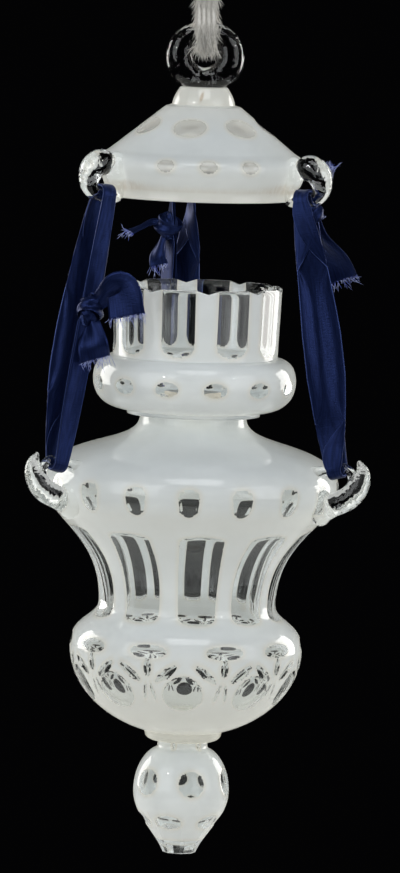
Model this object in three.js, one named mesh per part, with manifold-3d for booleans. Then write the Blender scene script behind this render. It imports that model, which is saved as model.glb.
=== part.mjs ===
// A hanging night lamp of clear glass cased in white: a small bell-shaped canopy, a vase-shaped bowl
// hung below it on three ribbon loops, a crown-shaped cup that lifts out of the bowl, and a drop below.
// Millimetres, +Z up. The origin is the top of the cord loop, where the lamp hangs.
import * as THREE from 'three';
import { mergeVertices } from 'three/addons/utils/BufferGeometryUtils.js';
import Module from 'manifold-3d';

const wasm = await Module();
wasm.setup();

// Clearances
const fusedGap = 0.3;          // between two pieces of glass that are fused or rest on each other
const ribbonGap = 0.8;         // between a ribbon and the glass it hangs on
const bightGap = 0.85;         // between the string and the ring it goes round
const plugGap = 0.5;           // between the cup's plug and the bowl's neck
const stringGap = 0.5;         // between neighbouring turns of the string

// Hanging string and its tie
const stringDiameter = 2.1;
const stringTurns = 4;
const hangDrop = 68.8;         // from the top of the loop down to the middle of the ring's hole
const stringLoopRadius = 6;    // the bend over whatever the lamp hangs from
const tieHeight = 7;
const tieWall = 2.4;
const tieDrop = 27;            // from the top of the loop down to the tie's upper face

// Glass ring and knop
const holeRadius = 6.75;
const ringTopThickness = 10.8;
const ringSideThickness = 14.4;
const knopHeight = 8.6;
const knopTopRadius = 12.5;
const knopRadius = 17;

// Canopy
const canopyTopRadius = 19.5;
const canopyHeight = 50;
const canopyShoulderRadius = 56.4;
const canopyShoulderDepth = 32;   // from the canopy's top down to its widest ring
const canopyLipRadius = 52;
const canopyLipBand = 3;          // the upright band at the lip
const canopyWall = 3.2;

// Hooks of the canopy: a gather on the band, a rod that leaves it, turns up and curls back
const hookStandOut = 6.1;         // from the canopy's widest ring out to where the ribbon hangs
const hookAboveLip = 1.3;         // the middle of the rod lies this far above the canopy's lip
const hookRodRadius = 3.4;
const hookSeat = 5.9;             // length of rod that carries the ribbon
const hookCurlWide = 6.8;
const hookCurlHigh = 8.8;
const hookCurlSetOut = 0.6;       // from the end of the seat out to the middle of the curl
const hookNeckOut = 1.6;          // the rod's bend lies this far outside the lip, and this much higher
const hookNeckRise = 0.6;
const hookRootIn = 3.8;           // its root lies this far inside the canopy's widest ring
const hookRootRise = 12.5;        // and this far above the middle of the rod
const hookGather = { thick: 5.4, wide: 8.2, high: 9.6, rise: 14, sunk: 1.5 };

// Ribbons
const ribbonDrop = 143;           // between the two rods that a ribbon goes round
const ribbonWidth = 21;
const ribbonBunchedWidth = 7.4;   // where it is drawn together over the glass
const ribbonThickness = 1.2;
const looseEndThickness = 1.4;
const looseEndRootWidth = 5;      // width of a loose end where it leaves the knot

// Eyes of the bowl: a gather, an upturned pointed tail, and a bar with the ribbon under it
const eyeStandOut = 7;            // from the bowl's widest ring out to where the ribbon pulls on the eye
const eyeBarRadius = 2.6;
const eyeSeatMargin = 1.2;        // the bar runs on past the ribbon's edge by this much
const eyeRoom = 3.2;              // between the ribbon's edge and the outer leg of the bar
const eyeLegLean = 0.4;
const eyeBarTurnHeight = 4;       // height over which the bar turns into its leg
const eyeRootIn = 8;              // the bar's root lies this far inside the widest ring, and this much lower
const eyeRootFall = 3.2;
const eyeGather = { thick: 5.6, wide: 8.4, high: 10, fall: 7.5, sunk: 1.2 };
const tailStandOut = 22.5;        // from the bowl's widest ring out to the middle of the tail
const tailRadius = 4.8;
const tailHeight = 19.5;          // of its tip above the bowl's widest ring
const tailLean = 2.8;             // its tip lies this far inside its outermost place
const tailRootIn = 5;             // its root lies this far inside the widest ring, and this much lower
const tailRootFall = 14;
const tailKneeOut = 4;            // where it leaves the glass, outside and below the widest ring
const tailKneeFall = 6.6;

// Bowl, by rings: neck, shoulder, waist, belly, foot
const neckRadius = 29;
const shoulderRadius = 80;
const waistRadius = 48;
const bellyRadius = 63.1;
const bowlFootRadius = 21.7;
const shoulderBelowBar = 14;      // the widest ring lies this far below the eye's bar
const neckHeight = 37.4;          // from the widest ring up to the neck's rim
const waistDepth = 65;            // from the widest ring down
const bellyDepth = 24;            // from the waist down
const footDepth = 45.7;           // from the belly down
const neckLip = 1.5;              // the upright edge of the neck
const bowlWall = 3;
const drainRadius = 6.5;          // the blow hole that runs from the bowl through the stem

// Crown-shaped cup
const plugDepth = 9;
const plugWall = 3;
const cupLipRadius = 36;
const cupLipHeight = 2.3;
const bulgeRadius = 55;
const bulgeHeight = 29.3;         // from the lip up to where the upright wall starts
const bulgeLowerHeight = 16.7;    // from the lip up to the widest ring of the bulge
const crownWallRadius = 44.6;
const crownRimRadius = 46;
const crownHeight = 38.5;         // of the upright wall, to the top of the scallops
const crownPanels = 10;
const crownTurn = 0.75;           // of a panel, from the front round to the first notch of the rim
const scallopDepth = 2;
const cupWall = 2.8;
const cupFloor = 3.6;

// Foot ring and drop
const mereseHeight = 5.2;
const mereseRadius = 18.6;
const mereseEdge = 1.6;           // height of its sloping upper edge, and how far that stands out
const mereseEdgeOut = 1.2;
const stemRadius = 13.6;
const stemHeight = 3;
const dropRadius = 26;
const dropUpperHeight = 24.3;     // from the stem down to the drop's widest ring
const dropLowerHeight = 33.8;     // from there down to the flat tip
const dropTipRadius = 8.9;
const dropTipThickness = 9;
const dropWall = 3;

// Floating light
const floatRadius = 17;
const floatHeight = 7;
const floatEdge = 1;              // its edges are cut off at a slope
const floatRoom = 1;              // between the float and the ring of bare floor round it
const floatPlateThickness = 0.6;
const wickRadius = 1.1;
const wickHeight = 17;
const wickTubeWall = 0.5;
const wickTubeHeight = 8;

// Where the three hooks stand round the axis, in degrees; the back ones were set a little off
const hookAzimuths = { left: 210, right: 330, back: 95 };

// Steps round the axis
const canopySteps = 36;
const bowlSteps = 40;
const crownStepsPerPanel = 4;
const smallSteps = 20;
const cutterSteps = 120;        // round enough to keep its gap to any facet
const ringSides = 10;
const gatherSteps = 10;
const knotSteps = 8;

// How each bend of an outline leaves and arrives, as shares of its own width and height
const bendShapes = {
  knopSide: { leave: [0, 0.33], arrive: [0.48, 0.33] },
  canopyShoulder: { leave: [0.42, 0.33], arrive: [0, 0.52] },
  canopyTuck: { leave: [0, 0.4], arrive: [0, 0.4] },
  bowlBelly: { leave: [0.59, 0.15], arrive: [0, 0.46] },
  bowlTuck: { leave: [0, 0.62], arrive: [0, 0.38] },
  bowlFlare: { leave: [0, 0.58], arrive: [0, 0.32] },
  bowlShoulder: { leave: [0, 0.67], arrive: [0, 0.45] },
  lowerBulge: { leave: [0.63, 0], arrive: [0, 0.6] },
  upperBulge: { leave: [0, 0.64], arrive: [0.6, 0.03] },
  mereseSide: { leave: [0.2, 0.56], arrive: [-0.12, 0.56] },
  dropLower: { leave: [0.27, 0.33], arrive: [0, 0.41] },
  dropUpper: { leave: [0, 0.59], arrive: [0.16, 0.14] },
};
const canopyCone = { out: 0.8, down: 0.76 };   // where the canopy's cone meets its shoulder, in shares

// Reaches from the axis
const hookReach = canopyShoulderRadius + hookStandOut;
const eyeReach = shoulderRadius + eyeStandOut;
const tailReach = shoulderRadius + tailStandOut;

// Heights, from the top down
const holeZ = -hangDrop;
const ringBottomZ = holeZ - holeRadius - ringTopThickness;
const knopTopZ = ringBottomZ - fusedGap;
const canopyTopZ = knopTopZ - knopHeight - fusedGap;
const lipZ = canopyTopZ - canopyHeight;
const hookRodZ = lipZ + hookAboveLip;
const eyeBarZ = hookRodZ - ribbonDrop;
const shoulderZ = eyeBarZ - shoulderBelowBar;
const neckRimZ = shoulderZ + neckHeight;
const waistZ = shoulderZ - waistDepth;
const bellyZ = waistZ - bellyDepth;
const bowlFootZ = bellyZ - footDepth;
const cupLipZ = neckRimZ + fusedGap;
const crownFootZ = cupLipZ + cupLipHeight + bulgeHeight;
const crownRimZ = crownFootZ + crownHeight;
const mereseTopZ = bowlFootZ - fusedGap;
const stemTopZ = mereseTopZ - mereseHeight - fusedGap;

// Materials
const casedGlass = new THREE.MeshStandardMaterial({ color: 0xd4dadd, roughness: 0.12, metalness: 0 });
const clearGlass = new THREE.MeshStandardMaterial({
  color: 0xe4e8e6, roughness: 0.05, metalness: 0, transparent: true, opacity: 0.5,
});
const cotton = new THREE.MeshStandardMaterial({ color: 0xd9d4cb, roughness: 0.95, metalness: 0 });
const navySatin = new THREE.MeshStandardMaterial({ color: 0x161f52, roughness: 0.45, metalness: 0 });
const corkBrown = new THREE.MeshStandardMaterial({ color: 0xb48a5c, roughness: 0.9, metalness: 0 });
const tinPlate = new THREE.MeshStandardMaterial({ color: 0xb9bcbf, roughness: 0.4, metalness: 1 });

// A closed solid from a geometry: shared corners are merged and empty triangles dropped
function toSolid(geometry) {
  const bare = geometry.clone();
  bare.deleteAttribute('normal');
  bare.deleteAttribute('uv');
  const merged = mergeVertices(bare, 1e-4);
  const corners = [];
  const index = merged.index.array;
  for (let i = 0; i < index.length; i += 3) {
    const [a, b, c] = [index[i], index[i + 1], index[i + 2]];
    if (a !== b && b !== c && c !== a) corners.push(a, b, c);
  }
  const mesh = new wasm.Mesh({
    numProp: 3,
    vertProperties: new Float32Array(merged.attributes.position.array),
    triVerts: new Uint32Array(corners),
  });
  mesh.merge();
  return new wasm.Manifold(mesh);
}

// Every other point: an inner wall shows little and needs fewer steps than the outside
function thinned(profile) {
  return profile.filter((_, i) => i % 2 === 0);
}

function toGeometry(solid) {
  const mesh = solid.getMesh();
  const geometry = new THREE.BufferGeometry();
  geometry.setAttribute('position', new THREE.BufferAttribute(Float32Array.from(mesh.vertProperties), 3));
  geometry.setIndex(Array.from(mesh.triVerts));
  geometry.computeVertexNormals();
  return geometry;
}

function joined(solids) {
  return solids.reduce((whole, next) => whole.add(next));
}

function namedMesh(name, solid, material) {
  const mesh = new THREE.Mesh(toGeometry(solid), material);
  mesh.name = name;
  return mesh;
}

// A solid through a row of rings of points, each ring turning left as seen from ahead of it
function loft(rings, closed = false) {
  const sides = rings[0].length;
  const positions = rings.flat().flatMap((point) => point.toArray());
  const index = [];
  const spans = closed ? rings.length : rings.length - 1;
  for (let i = 0; i < spans; i += 1) {
    const here = i * sides;
    const ahead = ((i + 1) % rings.length) * sides;
    for (let j = 0; j < sides; j += 1) {
      const k = (j + 1) % sides;
      index.push(here + j, here + k, ahead + k, here + j, ahead + k, ahead + j);
    }
  }
  if (!closed) {
    const end = (rings.length - 1) * sides;
    for (let j = 1; j < sides - 1; j += 1) {
      index.push(0, j + 1, j, end, end + j, end + j + 1);
    }
  }
  const geometry = new THREE.BufferGeometry();
  geometry.setAttribute('position', new THREE.Float32BufferAttribute(positions, 3));
  geometry.setIndex(index);
  return toSolid(geometry);
}

// A round tube through points, with its own radius at each; its section turns as little as it can
function tube(points, radii, sides) {
  const tangents = points.map((point, i) => {
    const before = points[Math.max(i - 1, 0)];
    const after = points[Math.min(i + 1, points.length - 1)];
    return after.clone().sub(before).normalize();
  });
  const across = new THREE.Vector3(0, 1, 0);
  if (Math.abs(tangents[0].y) > 0.9) across.set(1, 0, 0);
  return loft(points.map((point, i) => {
    across.addScaledVector(tangents[i], -across.dot(tangents[i])).normalize();
    const up = tangents[i].clone().cross(across);
    return Array.from({ length: sides }, (_, j) => {
      const angle = (2 * Math.PI * j) / sides;
      return point.clone()
        .addScaledVector(across, radii[i] * Math.cos(angle))
        .addScaledVector(up, radii[i] * Math.sin(angle));
    });
  }));
}

// A tube along a smooth curve through points; its radius passes smoothly through those given
function taperedTube(points, radii, steps, sides) {
  const path = new THREE.CatmullRomCurve3(points);
  const radiusPath = new THREE.SplineCurve(radii.map((radius, i) => new THREE.Vector2(i, radius)));
  const stations = Array.from({ length: steps + 1 }, (_, i) => i / steps);
  return tube(stations.map((t) => path.getPoint(t)), stations.map((t) => radiusPath.getPoint(t).y), sides);
}

function ellipsoid(centre, radii, wide, high) {
  const geometry = new THREE.SphereGeometry(1, wide, high);
  geometry.scale(radii[0], radii[1], radii[2]);
  geometry.translate(centre[0], centre[1], centre[2]);
  return toSolid(geometry);
}

// Profiles are lists of (radius, height)
const at = (radius, height) => new THREE.Vector2(radius, height);

// A smooth bend between two points of a profile
function bend(from, shape, to, steps) {
  const span = to.clone().sub(from);
  const leaving = from.clone().add(span.clone().multiply(at(...shape.leave)));
  const arriving = to.clone().sub(span.clone().multiply(at(...shape.arrive)));
  return new THREE.CubicBezierCurve(from, leaving, arriving, to).getPoints(steps);
}

// The profile moved sideways by a wall, to the right of its direction of travel
function inset(profile, wall) {
  return profile.map((point, i) => {
    const before = profile[Math.max(i - 1, 0)];
    const after = profile[Math.min(i + 1, profile.length - 1)];
    const along = after.clone().sub(before).normalize();
    return at(point.x + wall * along.y, point.y - wall * along.x);
  });
}

// A solid of revolution about Z from a profile that closes on itself or starts and ends on the axis
function revolve(profile, steps) {
  const geometry = new THREE.LatheGeometry(profile, steps);
  geometry.rotateX(Math.PI / 2);
  return geometry;
}

function ringOf(profile, steps) {
  return revolve([...profile, profile[0].clone()], steps);
}

// Hanging string: one string that goes round the ring and over the top several times
const stringRadius = stringDiameter / 2;
const stringPitch = stringDiameter + stringGap;
const ringTubeRadius = ringTopThickness / 2;
const ringTubeMiddle = holeRadius + ringTubeRadius;
const bightRadius = ringTubeRadius + bightGap + stringRadius;
const stringRowHalf = stringRadius + stringGap / 2;
const tieTopHeight = hangDrop - tieDrop;
const tieBottomHeight = tieTopHeight - tieHeight;
const topLoopMiddle = hangDrop - stringRadius - stringLoopRadius;
const runSteps = 4;
const bendSteps = 8;
const tieSteps = 2;

const smooth = (t) => t * t * (3 - 2 * t);

// Heights above the hole and distances behind it along one run of the string, tie to ring
function runStations() {
  return Array.from({ length: runSteps }, (_, i) => {
    const t = i / runSteps;
    const height = THREE.MathUtils.lerp(tieBottomHeight - stringDiameter, ringTubeMiddle, t);
    return [height, THREE.MathUtils.lerp(stringRowHalf, bightRadius, smooth(t))];
  });
}

function bightStations() {
  return Array.from({ length: bendSteps + 1 }, (_, i) => {
    const angle = (Math.PI * i) / bendSteps;
    return [ringTubeMiddle - bightRadius * Math.sin(angle), -bightRadius * Math.cos(angle)];
  });
}

// From the back of the tie over the top to the front of it
function topStations() {
  const rise = Array.from({ length: runSteps }, (_, i) => {
    const t = i / runSteps;
    const height = THREE.MathUtils.lerp(tieTopHeight + stringDiameter, topLoopMiddle, t);
    return [height, THREE.MathUtils.lerp(stringRowHalf, stringLoopRadius, smooth(t))];
  });
  const over = Array.from({ length: bendSteps + 1 }, (_, i) => {
    const angle = (Math.PI * i) / bendSteps;
    return [topLoopMiddle + stringLoopRadius * Math.sin(angle), stringLoopRadius * Math.cos(angle)];
  });
  const tie = Array.from({ length: tieSteps }, (_, i) => {
    return [THREE.MathUtils.lerp(tieBottomHeight, tieTopHeight, i / (tieSteps - 1)), stringRowHalf];
  });
  const fall = [...tie, ...rise].reverse().map(([height, behind]) => [height, -behind]);
  return [...tie, ...rise, ...over, ...fall];
}

function stringPath() {
  const down = runStations().map(([height, behind]) => [height, -behind]);
  const lower = [...down, ...bightStations(), ...runStations().reverse()];
  const top = topStations();
  const perTurn = lower.length + top.length;
  const start = [tieBottomHeight - fusedGap, -stringRowHalf];
  const end = [tieBottomHeight - fusedGap, stringRowHalf];
  const stations = [start];
  for (let turn = 0; turn < stringTurns; turn += 1) {
    stations.push(...lower);
    if (turn < stringTurns - 1) stations.push(...top);
  }
  stations.push(end);
  return stations.map(([height, behind], i) => {
    const x = stringPitch * ((i - (stations.length - 1) / 2) / perTurn);
    return new THREE.Vector3(x, behind, holeZ + Math.sqrt(height * height - x * x));
  });
}

// The least gap between stretches of a path that lie well apart along it
function leastGap(points, diameter) {
  const dense = new THREE.CatmullRomCurve3(points).getPoints(points.length * 3);
  const walked = [0];
  for (let i = 1; i < dense.length; i += 1) walked.push(walked[i - 1] + dense[i].distanceTo(dense[i - 1]));
  let least = Infinity;
  dense.forEach((here, i) => {
    for (let j = i + 1; j < dense.length; j += 1) {
      if (walked[j] - walked[i] > 4 * diameter) least = Math.min(least, here.distanceTo(dense[j]));
    }
  });
  return least - diameter;
}

const stringPoints = stringPath();
console.log(`string: least gap to itself ${leastGap(stringPoints, stringDiameter).toFixed(2)} mm`);

function hangingCord() {
  return tube(stringPoints, stringPoints.map(() => stringRadius), 6);
}

// The tie: a wrapped knot round the turns, with a slot for those that pass and its body over the two ends
function cordTie() {
  const slotHalf = stringRadius + fusedGap;
  const halfLength = stringPitch * stringTurns * 0.5 + tieWall;
  const halfDepth = stringRowHalf + slotHalf + tieWall;
  const outline = new THREE.Shape();
  outline.absarc(halfLength - halfDepth, 0, halfDepth, -Math.PI / 2, Math.PI / 2, false);
  outline.absarc(halfDepth - halfLength, 0, halfDepth, Math.PI / 2, (3 * Math.PI) / 2, false);
  const body = new THREE.ExtrudeGeometry(outline, {
    depth: tieHeight, bevelEnabled: false, curveSegments: 6,
  });
  const crossings = stringPoints.filter((point) => Math.abs(point.z - holeZ - tieTopHeight) < stringDiameter);
  const slots = [-1, 1].map((side) => {
    const row = crossings.filter((point) => point.y * side > 0).map((point) => point.x);
    const low = Math.min(...row) - slotHalf;
    const high = Math.max(...row) + slotHalf;
    const slot = new THREE.BoxGeometry(high - low, stringRowHalf + slotHalf, tieHeight * 2);
    slot.translate((low + high) / 2, (side * (stringRowHalf + slotHalf)) / 2, tieHeight / 2);
    return toSolid(slot);
  });
  const tied = toSolid(body).subtract(joined(slots));
  return tied.translate([0, 0, holeZ + tieBottomHeight]);
}

// Ring: a rod bent round the hole, thicker at its sides; the hole's axis is Y
function hangingRing() {
  const rings = Array.from({ length: smallSteps }, (_, i) => {
    const angle = (2 * Math.PI * i) / smallSteps;
    const thickness = THREE.MathUtils.lerp(ringTopThickness, ringSideThickness, Math.sin(angle) ** 4);
    const rod = thickness / 2;
    const outward = new THREE.Vector3(Math.sin(angle), 0, Math.cos(angle));
    return Array.from({ length: ringSides }, (__, j) => {
      const round = (2 * Math.PI * j) / ringSides;
      return outward.clone().multiplyScalar(holeRadius + rod - rod * Math.cos(round))
        .add(new THREE.Vector3(0, rod * Math.sin(round), holeZ));
    });
  });
  return loft(rings, true);
}

function ringKnop() {
  const bottom = knopTopZ - knopHeight;
  const side = bend(at(knopRadius, bottom), bendShapes.knopSide, at(knopTopRadius, knopTopZ), 6);
  return toSolid(revolve([at(0, bottom), ...side, at(0, knopTopZ)], smallSteps));
}

// Canopy: a cone with a round shoulder, a drawn-in band and a plain lip, open below
function canopyOutside() {
  const widest = at(canopyShoulderRadius, canopyTopZ - canopyShoulderDepth);
  const shoulderStart = at(
    THREE.MathUtils.lerp(canopyTopRadius, widest.x, canopyCone.out),
    THREE.MathUtils.lerp(canopyTopZ, widest.y, canopyCone.down),
  );
  const upper = bend(shoulderStart, bendShapes.canopyShoulder, widest, 3);
  const lower = bend(widest, bendShapes.canopyTuck, at(canopyLipRadius, lipZ + canopyLipBand), 3);
  return [at(canopyTopRadius, canopyTopZ), ...upper, ...lower.slice(1), at(canopyLipRadius, lipZ)];
}

function canopy() {
  const outside = canopyOutside();
  const inside = inset(outside, canopyWall).slice(1, -1);
  const lipInside = at(canopyLipRadius - canopyWall, lipZ);
  const crownInside = at(0, canopyTopZ - canopyWall);
  const profile = [at(0, canopyTopZ), ...outside, lipInside, ...inside.reverse(),
    at(canopyTopRadius - canopyWall, canopyTopZ - canopyWall), crownInside];
  return toSolid(revolve(profile.reverse(), canopySteps));
}

// The ribbons lean outward from the canopy to the bowl, and the rods they hang on lean with them
const ribbonLean = Math.atan2(eyeReach - hookReach, ribbonDrop);
const plane = (radius, height) => new THREE.Vector3(radius, 0, height);

// The part of a rod that carries a ribbon: square to the ribbon's lean
function restingRod(reach, height, half) {
  const along = plane(Math.cos(ribbonLean), Math.sin(ribbonLean));
  return [-half, half].map((step) => plane(reach, height).addScaledVector(along, step));
}

// A lump of glass pressed on the wall where a hook is drawn from
function gatherOn(wallRadius, middleZ, { thick, wide, high, sunk }) {
  return ellipsoid([wallRadius - sunk, 0, middleZ], [thick, wide, high], gatherSteps, gatherSteps);
}

function canopyHook() {
  const rod = restingRod(hookReach, hookRodZ, hookSeat / 2);
  const curlMiddle = rod[1].clone().add(plane(hookCurlSetOut, hookCurlHigh));
  const curl = [-62, -10, 40, 92, 138].map((degrees) => {
    const angle = THREE.MathUtils.degToRad(degrees);
    return curlMiddle.clone().add(plane(hookCurlWide * Math.cos(angle), hookCurlHigh * Math.sin(angle)));
  });
  const root = plane(Math.max(canopyShoulderRadius, canopyLipRadius) - hookRootIn, hookRodZ + hookRootRise);
  const neck = plane(canopyLipRadius + hookNeckOut, hookRodZ + hookNeckRise);
  const thickness = [1.18, 1, 1, 1, 0.97, 0.91, 0.91, 0.85, 0.65];
  const rodRadii = thickness.map((share) => share * hookRodRadius);
  const drawn = taperedTube([root, neck, ...rod, ...curl], rodRadii, 18, 8);
  const gather = gatherOn(canopyShoulderRadius, hookRodZ + hookGather.rise, hookGather);
  const cleared = inset(canopyOutside(), -fusedGap).reverse();
  const wall = toSolid(revolve([at(0, lipZ), ...cleared, at(0, canopyTopZ)], cutterSteps));
  return joined([gather, drawn]).subtract(wall);
}

// Bowl outline from the foot up to the neck
function bowlOutside() {
  const [foot, bellyRing] = [at(bowlFootRadius, bowlFootZ), at(bellyRadius, bellyZ)];
  const [waist, widest] = [at(waistRadius, waistZ), at(shoulderRadius, shoulderZ)];
  const belly = bend(foot, bendShapes.bowlBelly, bellyRing, 6);
  const tuck = bend(bellyRing, bendShapes.bowlTuck, waist, 5);
  const flare = bend(waist, bendShapes.bowlFlare, widest, 6);
  const shoulder = bend(widest, bendShapes.bowlShoulder, at(neckRadius, neckRimZ - neckLip), 7);
  return [...belly, ...tuck.slice(1), ...flare.slice(1), ...shoulder.slice(1), at(neckRadius, neckRimZ)];
}

function bowl() {
  const outside = bowlOutside();
  const inside = thinned(inset(outside, -bowlWall).slice(1, -1)).reverse();
  const profile = [at(drainRadius, bowlFootZ), ...outside, at(neckRadius - bowlWall, neckRimZ), ...inside,
    at(drainRadius, bowlFootZ + bowlWall)];
  return toSolid(ringOf(profile, bowlSteps));
}

function bowlEye() {
  const halfRibbon = ribbonBunchedWidth / 2;
  const barOuter = eyeReach + halfRibbon + eyeRoom + eyeBarRadius;
  const rod = restingRod(eyeReach, eyeBarZ, halfRibbon + eyeSeatMargin);
  const barPath = [
    plane(shoulderRadius - eyeRootIn, eyeBarZ - eyeRootFall),
    ...rod,
    plane(barOuter, eyeBarZ - eyeBarTurnHeight),
    plane(barOuter - eyeLegLean, shoulderZ),
  ];
  const bar = taperedTube(barPath, [1.3, 1, 1, 1, 1.23].map((share) => share * eyeBarRadius), 10, 8);
  const tailPath = [
    plane(shoulderRadius - tailRootIn, shoulderZ - tailRootFall),
    plane(shoulderRadius + tailKneeOut, shoulderZ - tailKneeFall),
    plane(barOuter - eyeBarRadius * 0.58, shoulderZ - tailKneeFall * 0.21),
    plane(tailReach - tailLean * 0.57, shoulderZ + tailHeight * 0.31),
    plane(tailReach, shoulderZ + tailHeight * 0.67),
    plane(tailReach - tailLean, shoulderZ + tailHeight),
  ];
  const tailRadii = [0.94, 1.08, 1.08, 1, 0.69, 0.21].map((share) => share * tailRadius);
  const tail = taperedTube(tailPath, tailRadii, 14, 8);
  const gather = gatherOn(shoulderRadius, shoulderZ - eyeGather.fall, eyeGather);
  const cleared = inset(bowlOutside(), fusedGap);
  const wall = toSolid(revolve([at(0, bowlFootZ), ...cleared, at(0, neckRimZ)], cutterSteps));
  return joined([gather, bar, tail]).subtract(wall);
}

// Crown-shaped cup: a hollow plug, a lip, a round bulge and an upright wall with a scalloped rim
function crownCup() {
  const lipTop = cupLipZ + cupLipHeight;
  const bulgeZ = lipTop + bulgeLowerHeight;
  const plugRadius = neckRadius - bowlWall - plugGap;
  const lowerBulge = bend(at(cupLipRadius, lipTop), bendShapes.lowerBulge, at(bulgeRadius, bulgeZ), 5);
  const upperBulge = bend(at(bulgeRadius, bulgeZ), bendShapes.upperBulge, at(crownWallRadius, crownFootZ), 4);
  const curved = [...lowerBulge, ...upperBulge.slice(1)];
  const inner = thinned(inset(curved, -cupWall).slice(1, -1)).reverse();
  const floorZ = cupLipZ + cupFloor;
  const profile = [
    at(0, cupLipZ), at(plugRadius - plugWall, cupLipZ), at(plugRadius - plugWall, cupLipZ - plugDepth),
    at(plugRadius, cupLipZ - plugDepth), at(plugRadius, cupLipZ), at(cupLipRadius, cupLipZ),
    ...curved, at(crownRimRadius, crownRimZ), at(crownRimRadius - cupWall, crownRimZ),
    at(crownWallRadius - cupWall, crownFootZ), ...inner.filter((point) => point.y > floorZ + cupWall / 4),
    at(cupLipRadius, floorZ), at(floatRadius + floatRoom, floorZ), at(0, floorZ),
  ];
  const geometry = revolve(profile, crownPanels * crownStepsPerPanel);
  const position = geometry.attributes.position;
  for (let i = 0; i < position.count; i += 1) {
    const onRim = Math.abs(position.getZ(i) - crownRimZ) < scallopDepth / 100;
    if (onRim) {
      const round = Math.atan2(position.getY(i), position.getX(i)) + Math.PI / 2;
      const panel = (round * crownPanels) / (2 * Math.PI) - crownTurn;
      const notch = 1 - Math.abs(Math.sin(Math.PI * panel)) ** 0.5;
      position.setZ(i, crownRimZ - scallopDepth * notch);
    }
  }
  return toSolid(geometry);
}

function footMerese() {
  const bottom = mereseTopZ - mereseHeight;
  const edge = at(mereseRadius, mereseTopZ - mereseEdge);
  const side = bend(at(stemRadius, bottom), bendShapes.mereseSide, edge, 4);
  const top = [at(mereseRadius + mereseEdgeOut, mereseTopZ), at(drainRadius, mereseTopZ)];
  return toSolid(ringOf([at(drainRadius, bottom), ...side, ...top], smallSteps));
}

function dropFinial() {
  const stemZ = stemTopZ - stemHeight;
  const widest = at(dropRadius, stemZ - dropUpperHeight);
  const tipZ = widest.y - dropLowerHeight;
  const floorZ = tipZ + dropTipThickness;
  const lower = bend(at(dropTipRadius, tipZ), bendShapes.dropLower, widest, 6);
  const upper = bend(widest, bendShapes.dropUpper, at(stemRadius, stemZ), 6);
  const outside = [...lower, ...upper.slice(1)];
  const inside = inset(outside, -dropWall).slice(1, -1).reverse()
    .filter((point) => point.x > drainRadius + dropWall / 10 && point.y > floorZ);
  const profile = [at(0, tipZ), ...outside, at(stemRadius, stemTopZ), at(drainRadius, stemTopZ),
    at(drainRadius, stemZ), ...inside, at(0, floorZ)];
  return toSolid(revolve(profile, smallSteps));
}

// Ribbons are made in the plane of their hook: x outward, y along the hook's circle, z up
const runLength = ribbonDrop / Math.cos(ribbonLean);
const ribbonWide = new THREE.Vector3(-Math.cos(ribbonLean), 0, -Math.sin(ribbonLean));
const ribbonUp = new THREE.Vector3(-Math.sin(ribbonLean), 0, Math.cos(ribbonLean));
const upperBend = hookRodRadius + ribbonGap + ribbonThickness / 2;
const lowerBend = eyeBarRadius + ribbonGap + ribbonThickness / 2;
const ribbonRunSteps = 8;
const ribbonBendSteps = 6;

function ribbonPlace(up, side) {
  const top = plane(hookReach, hookRodZ);
  return top.addScaledVector(ribbonUp, up).add(new THREE.Vector3(0, side, 0));
}

// One section of a flat band: its width lies along one direction, its thickness along the other
function bandSection(middle, wide, thick, width, thickness) {
  return [[-1, -1], [1, -1], [1, 1], [-1, 1]].map(([a, b]) => middle.clone()
    .addScaledVector(wide, (a * width) / 2)
    .addScaledVector(thick, (b * thickness) / 2));
}

function ribbonLoop() {
  const sections = [];
  const addSection = (up, side, outUp, outSide, width) => {
    const outward = ribbonUp.clone().multiplyScalar(outUp).add(new THREE.Vector3(0, outSide, 0));
    sections.push(bandSection(ribbonPlace(up, side), ribbonWide, outward, width, ribbonThickness));
  };
  const widthAt = (t) => THREE.MathUtils.lerp(ribbonBunchedWidth, ribbonWidth, Math.sin(Math.PI * t) ** 0.6);
  const addRun = (direction) => {
    for (let i = 1; i < ribbonRunSteps; i += 1) {
      const t = direction > 0 ? i / ribbonRunSteps : 1 - i / ribbonRunSteps;
      const side = direction * THREE.MathUtils.lerp(upperBend, lowerBend, t);
      addSection(-runLength * t, side, 0, direction, widthAt(t));
    }
  };
  const addBend = (centre, radius, start) => {
    for (let i = 0; i <= ribbonBendSteps; i += 1) {
      const angle = start - (Math.PI * i) / ribbonBendSteps;
      const [sin, cos] = [Math.sin(angle), Math.cos(angle)];
      addSection(centre + radius * sin, radius * cos, sin, cos, ribbonBunchedWidth);
    }
  };
  addBend(0, upperBend, Math.PI);
  addRun(1);
  addBend(-runLength, lowerBend, 0);
  addRun(-1);
  return loft(sections, true);
}

// A loose end of ribbon: a flat strip through points given as outward, sideways and down from the knot
function looseEnd(knot, steps, width) {
  const points = steps.map(([out, side, down]) => {
    return knot.clone().addScaledVector(new THREE.Vector3(out, side, -down), ribbonWidth);
  });
  const path = new THREE.CatmullRomCurve3([knot.clone(), ...points]);
  const count = 5;
  return loft(Array.from({ length: count + 1 }, (_, i) => {
    const t = i / count;
    const along = path.getTangent(t);
    const thick = new THREE.Vector3(0, 1, 0).addScaledVector(along, -along.y);
    if (thick.length() < 0.3) thick.set(1, 0, 0).addScaledVector(along, -along.x);
    thick.normalize();
    const wide = thick.clone().cross(along);
    const here = THREE.MathUtils.lerp(looseEndRootWidth, width * ribbonWidth, Math.min(1, 2 * t));
    return bandSection(path.getPoint(t), wide, thick, here, looseEndThickness);
  }));
}

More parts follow.
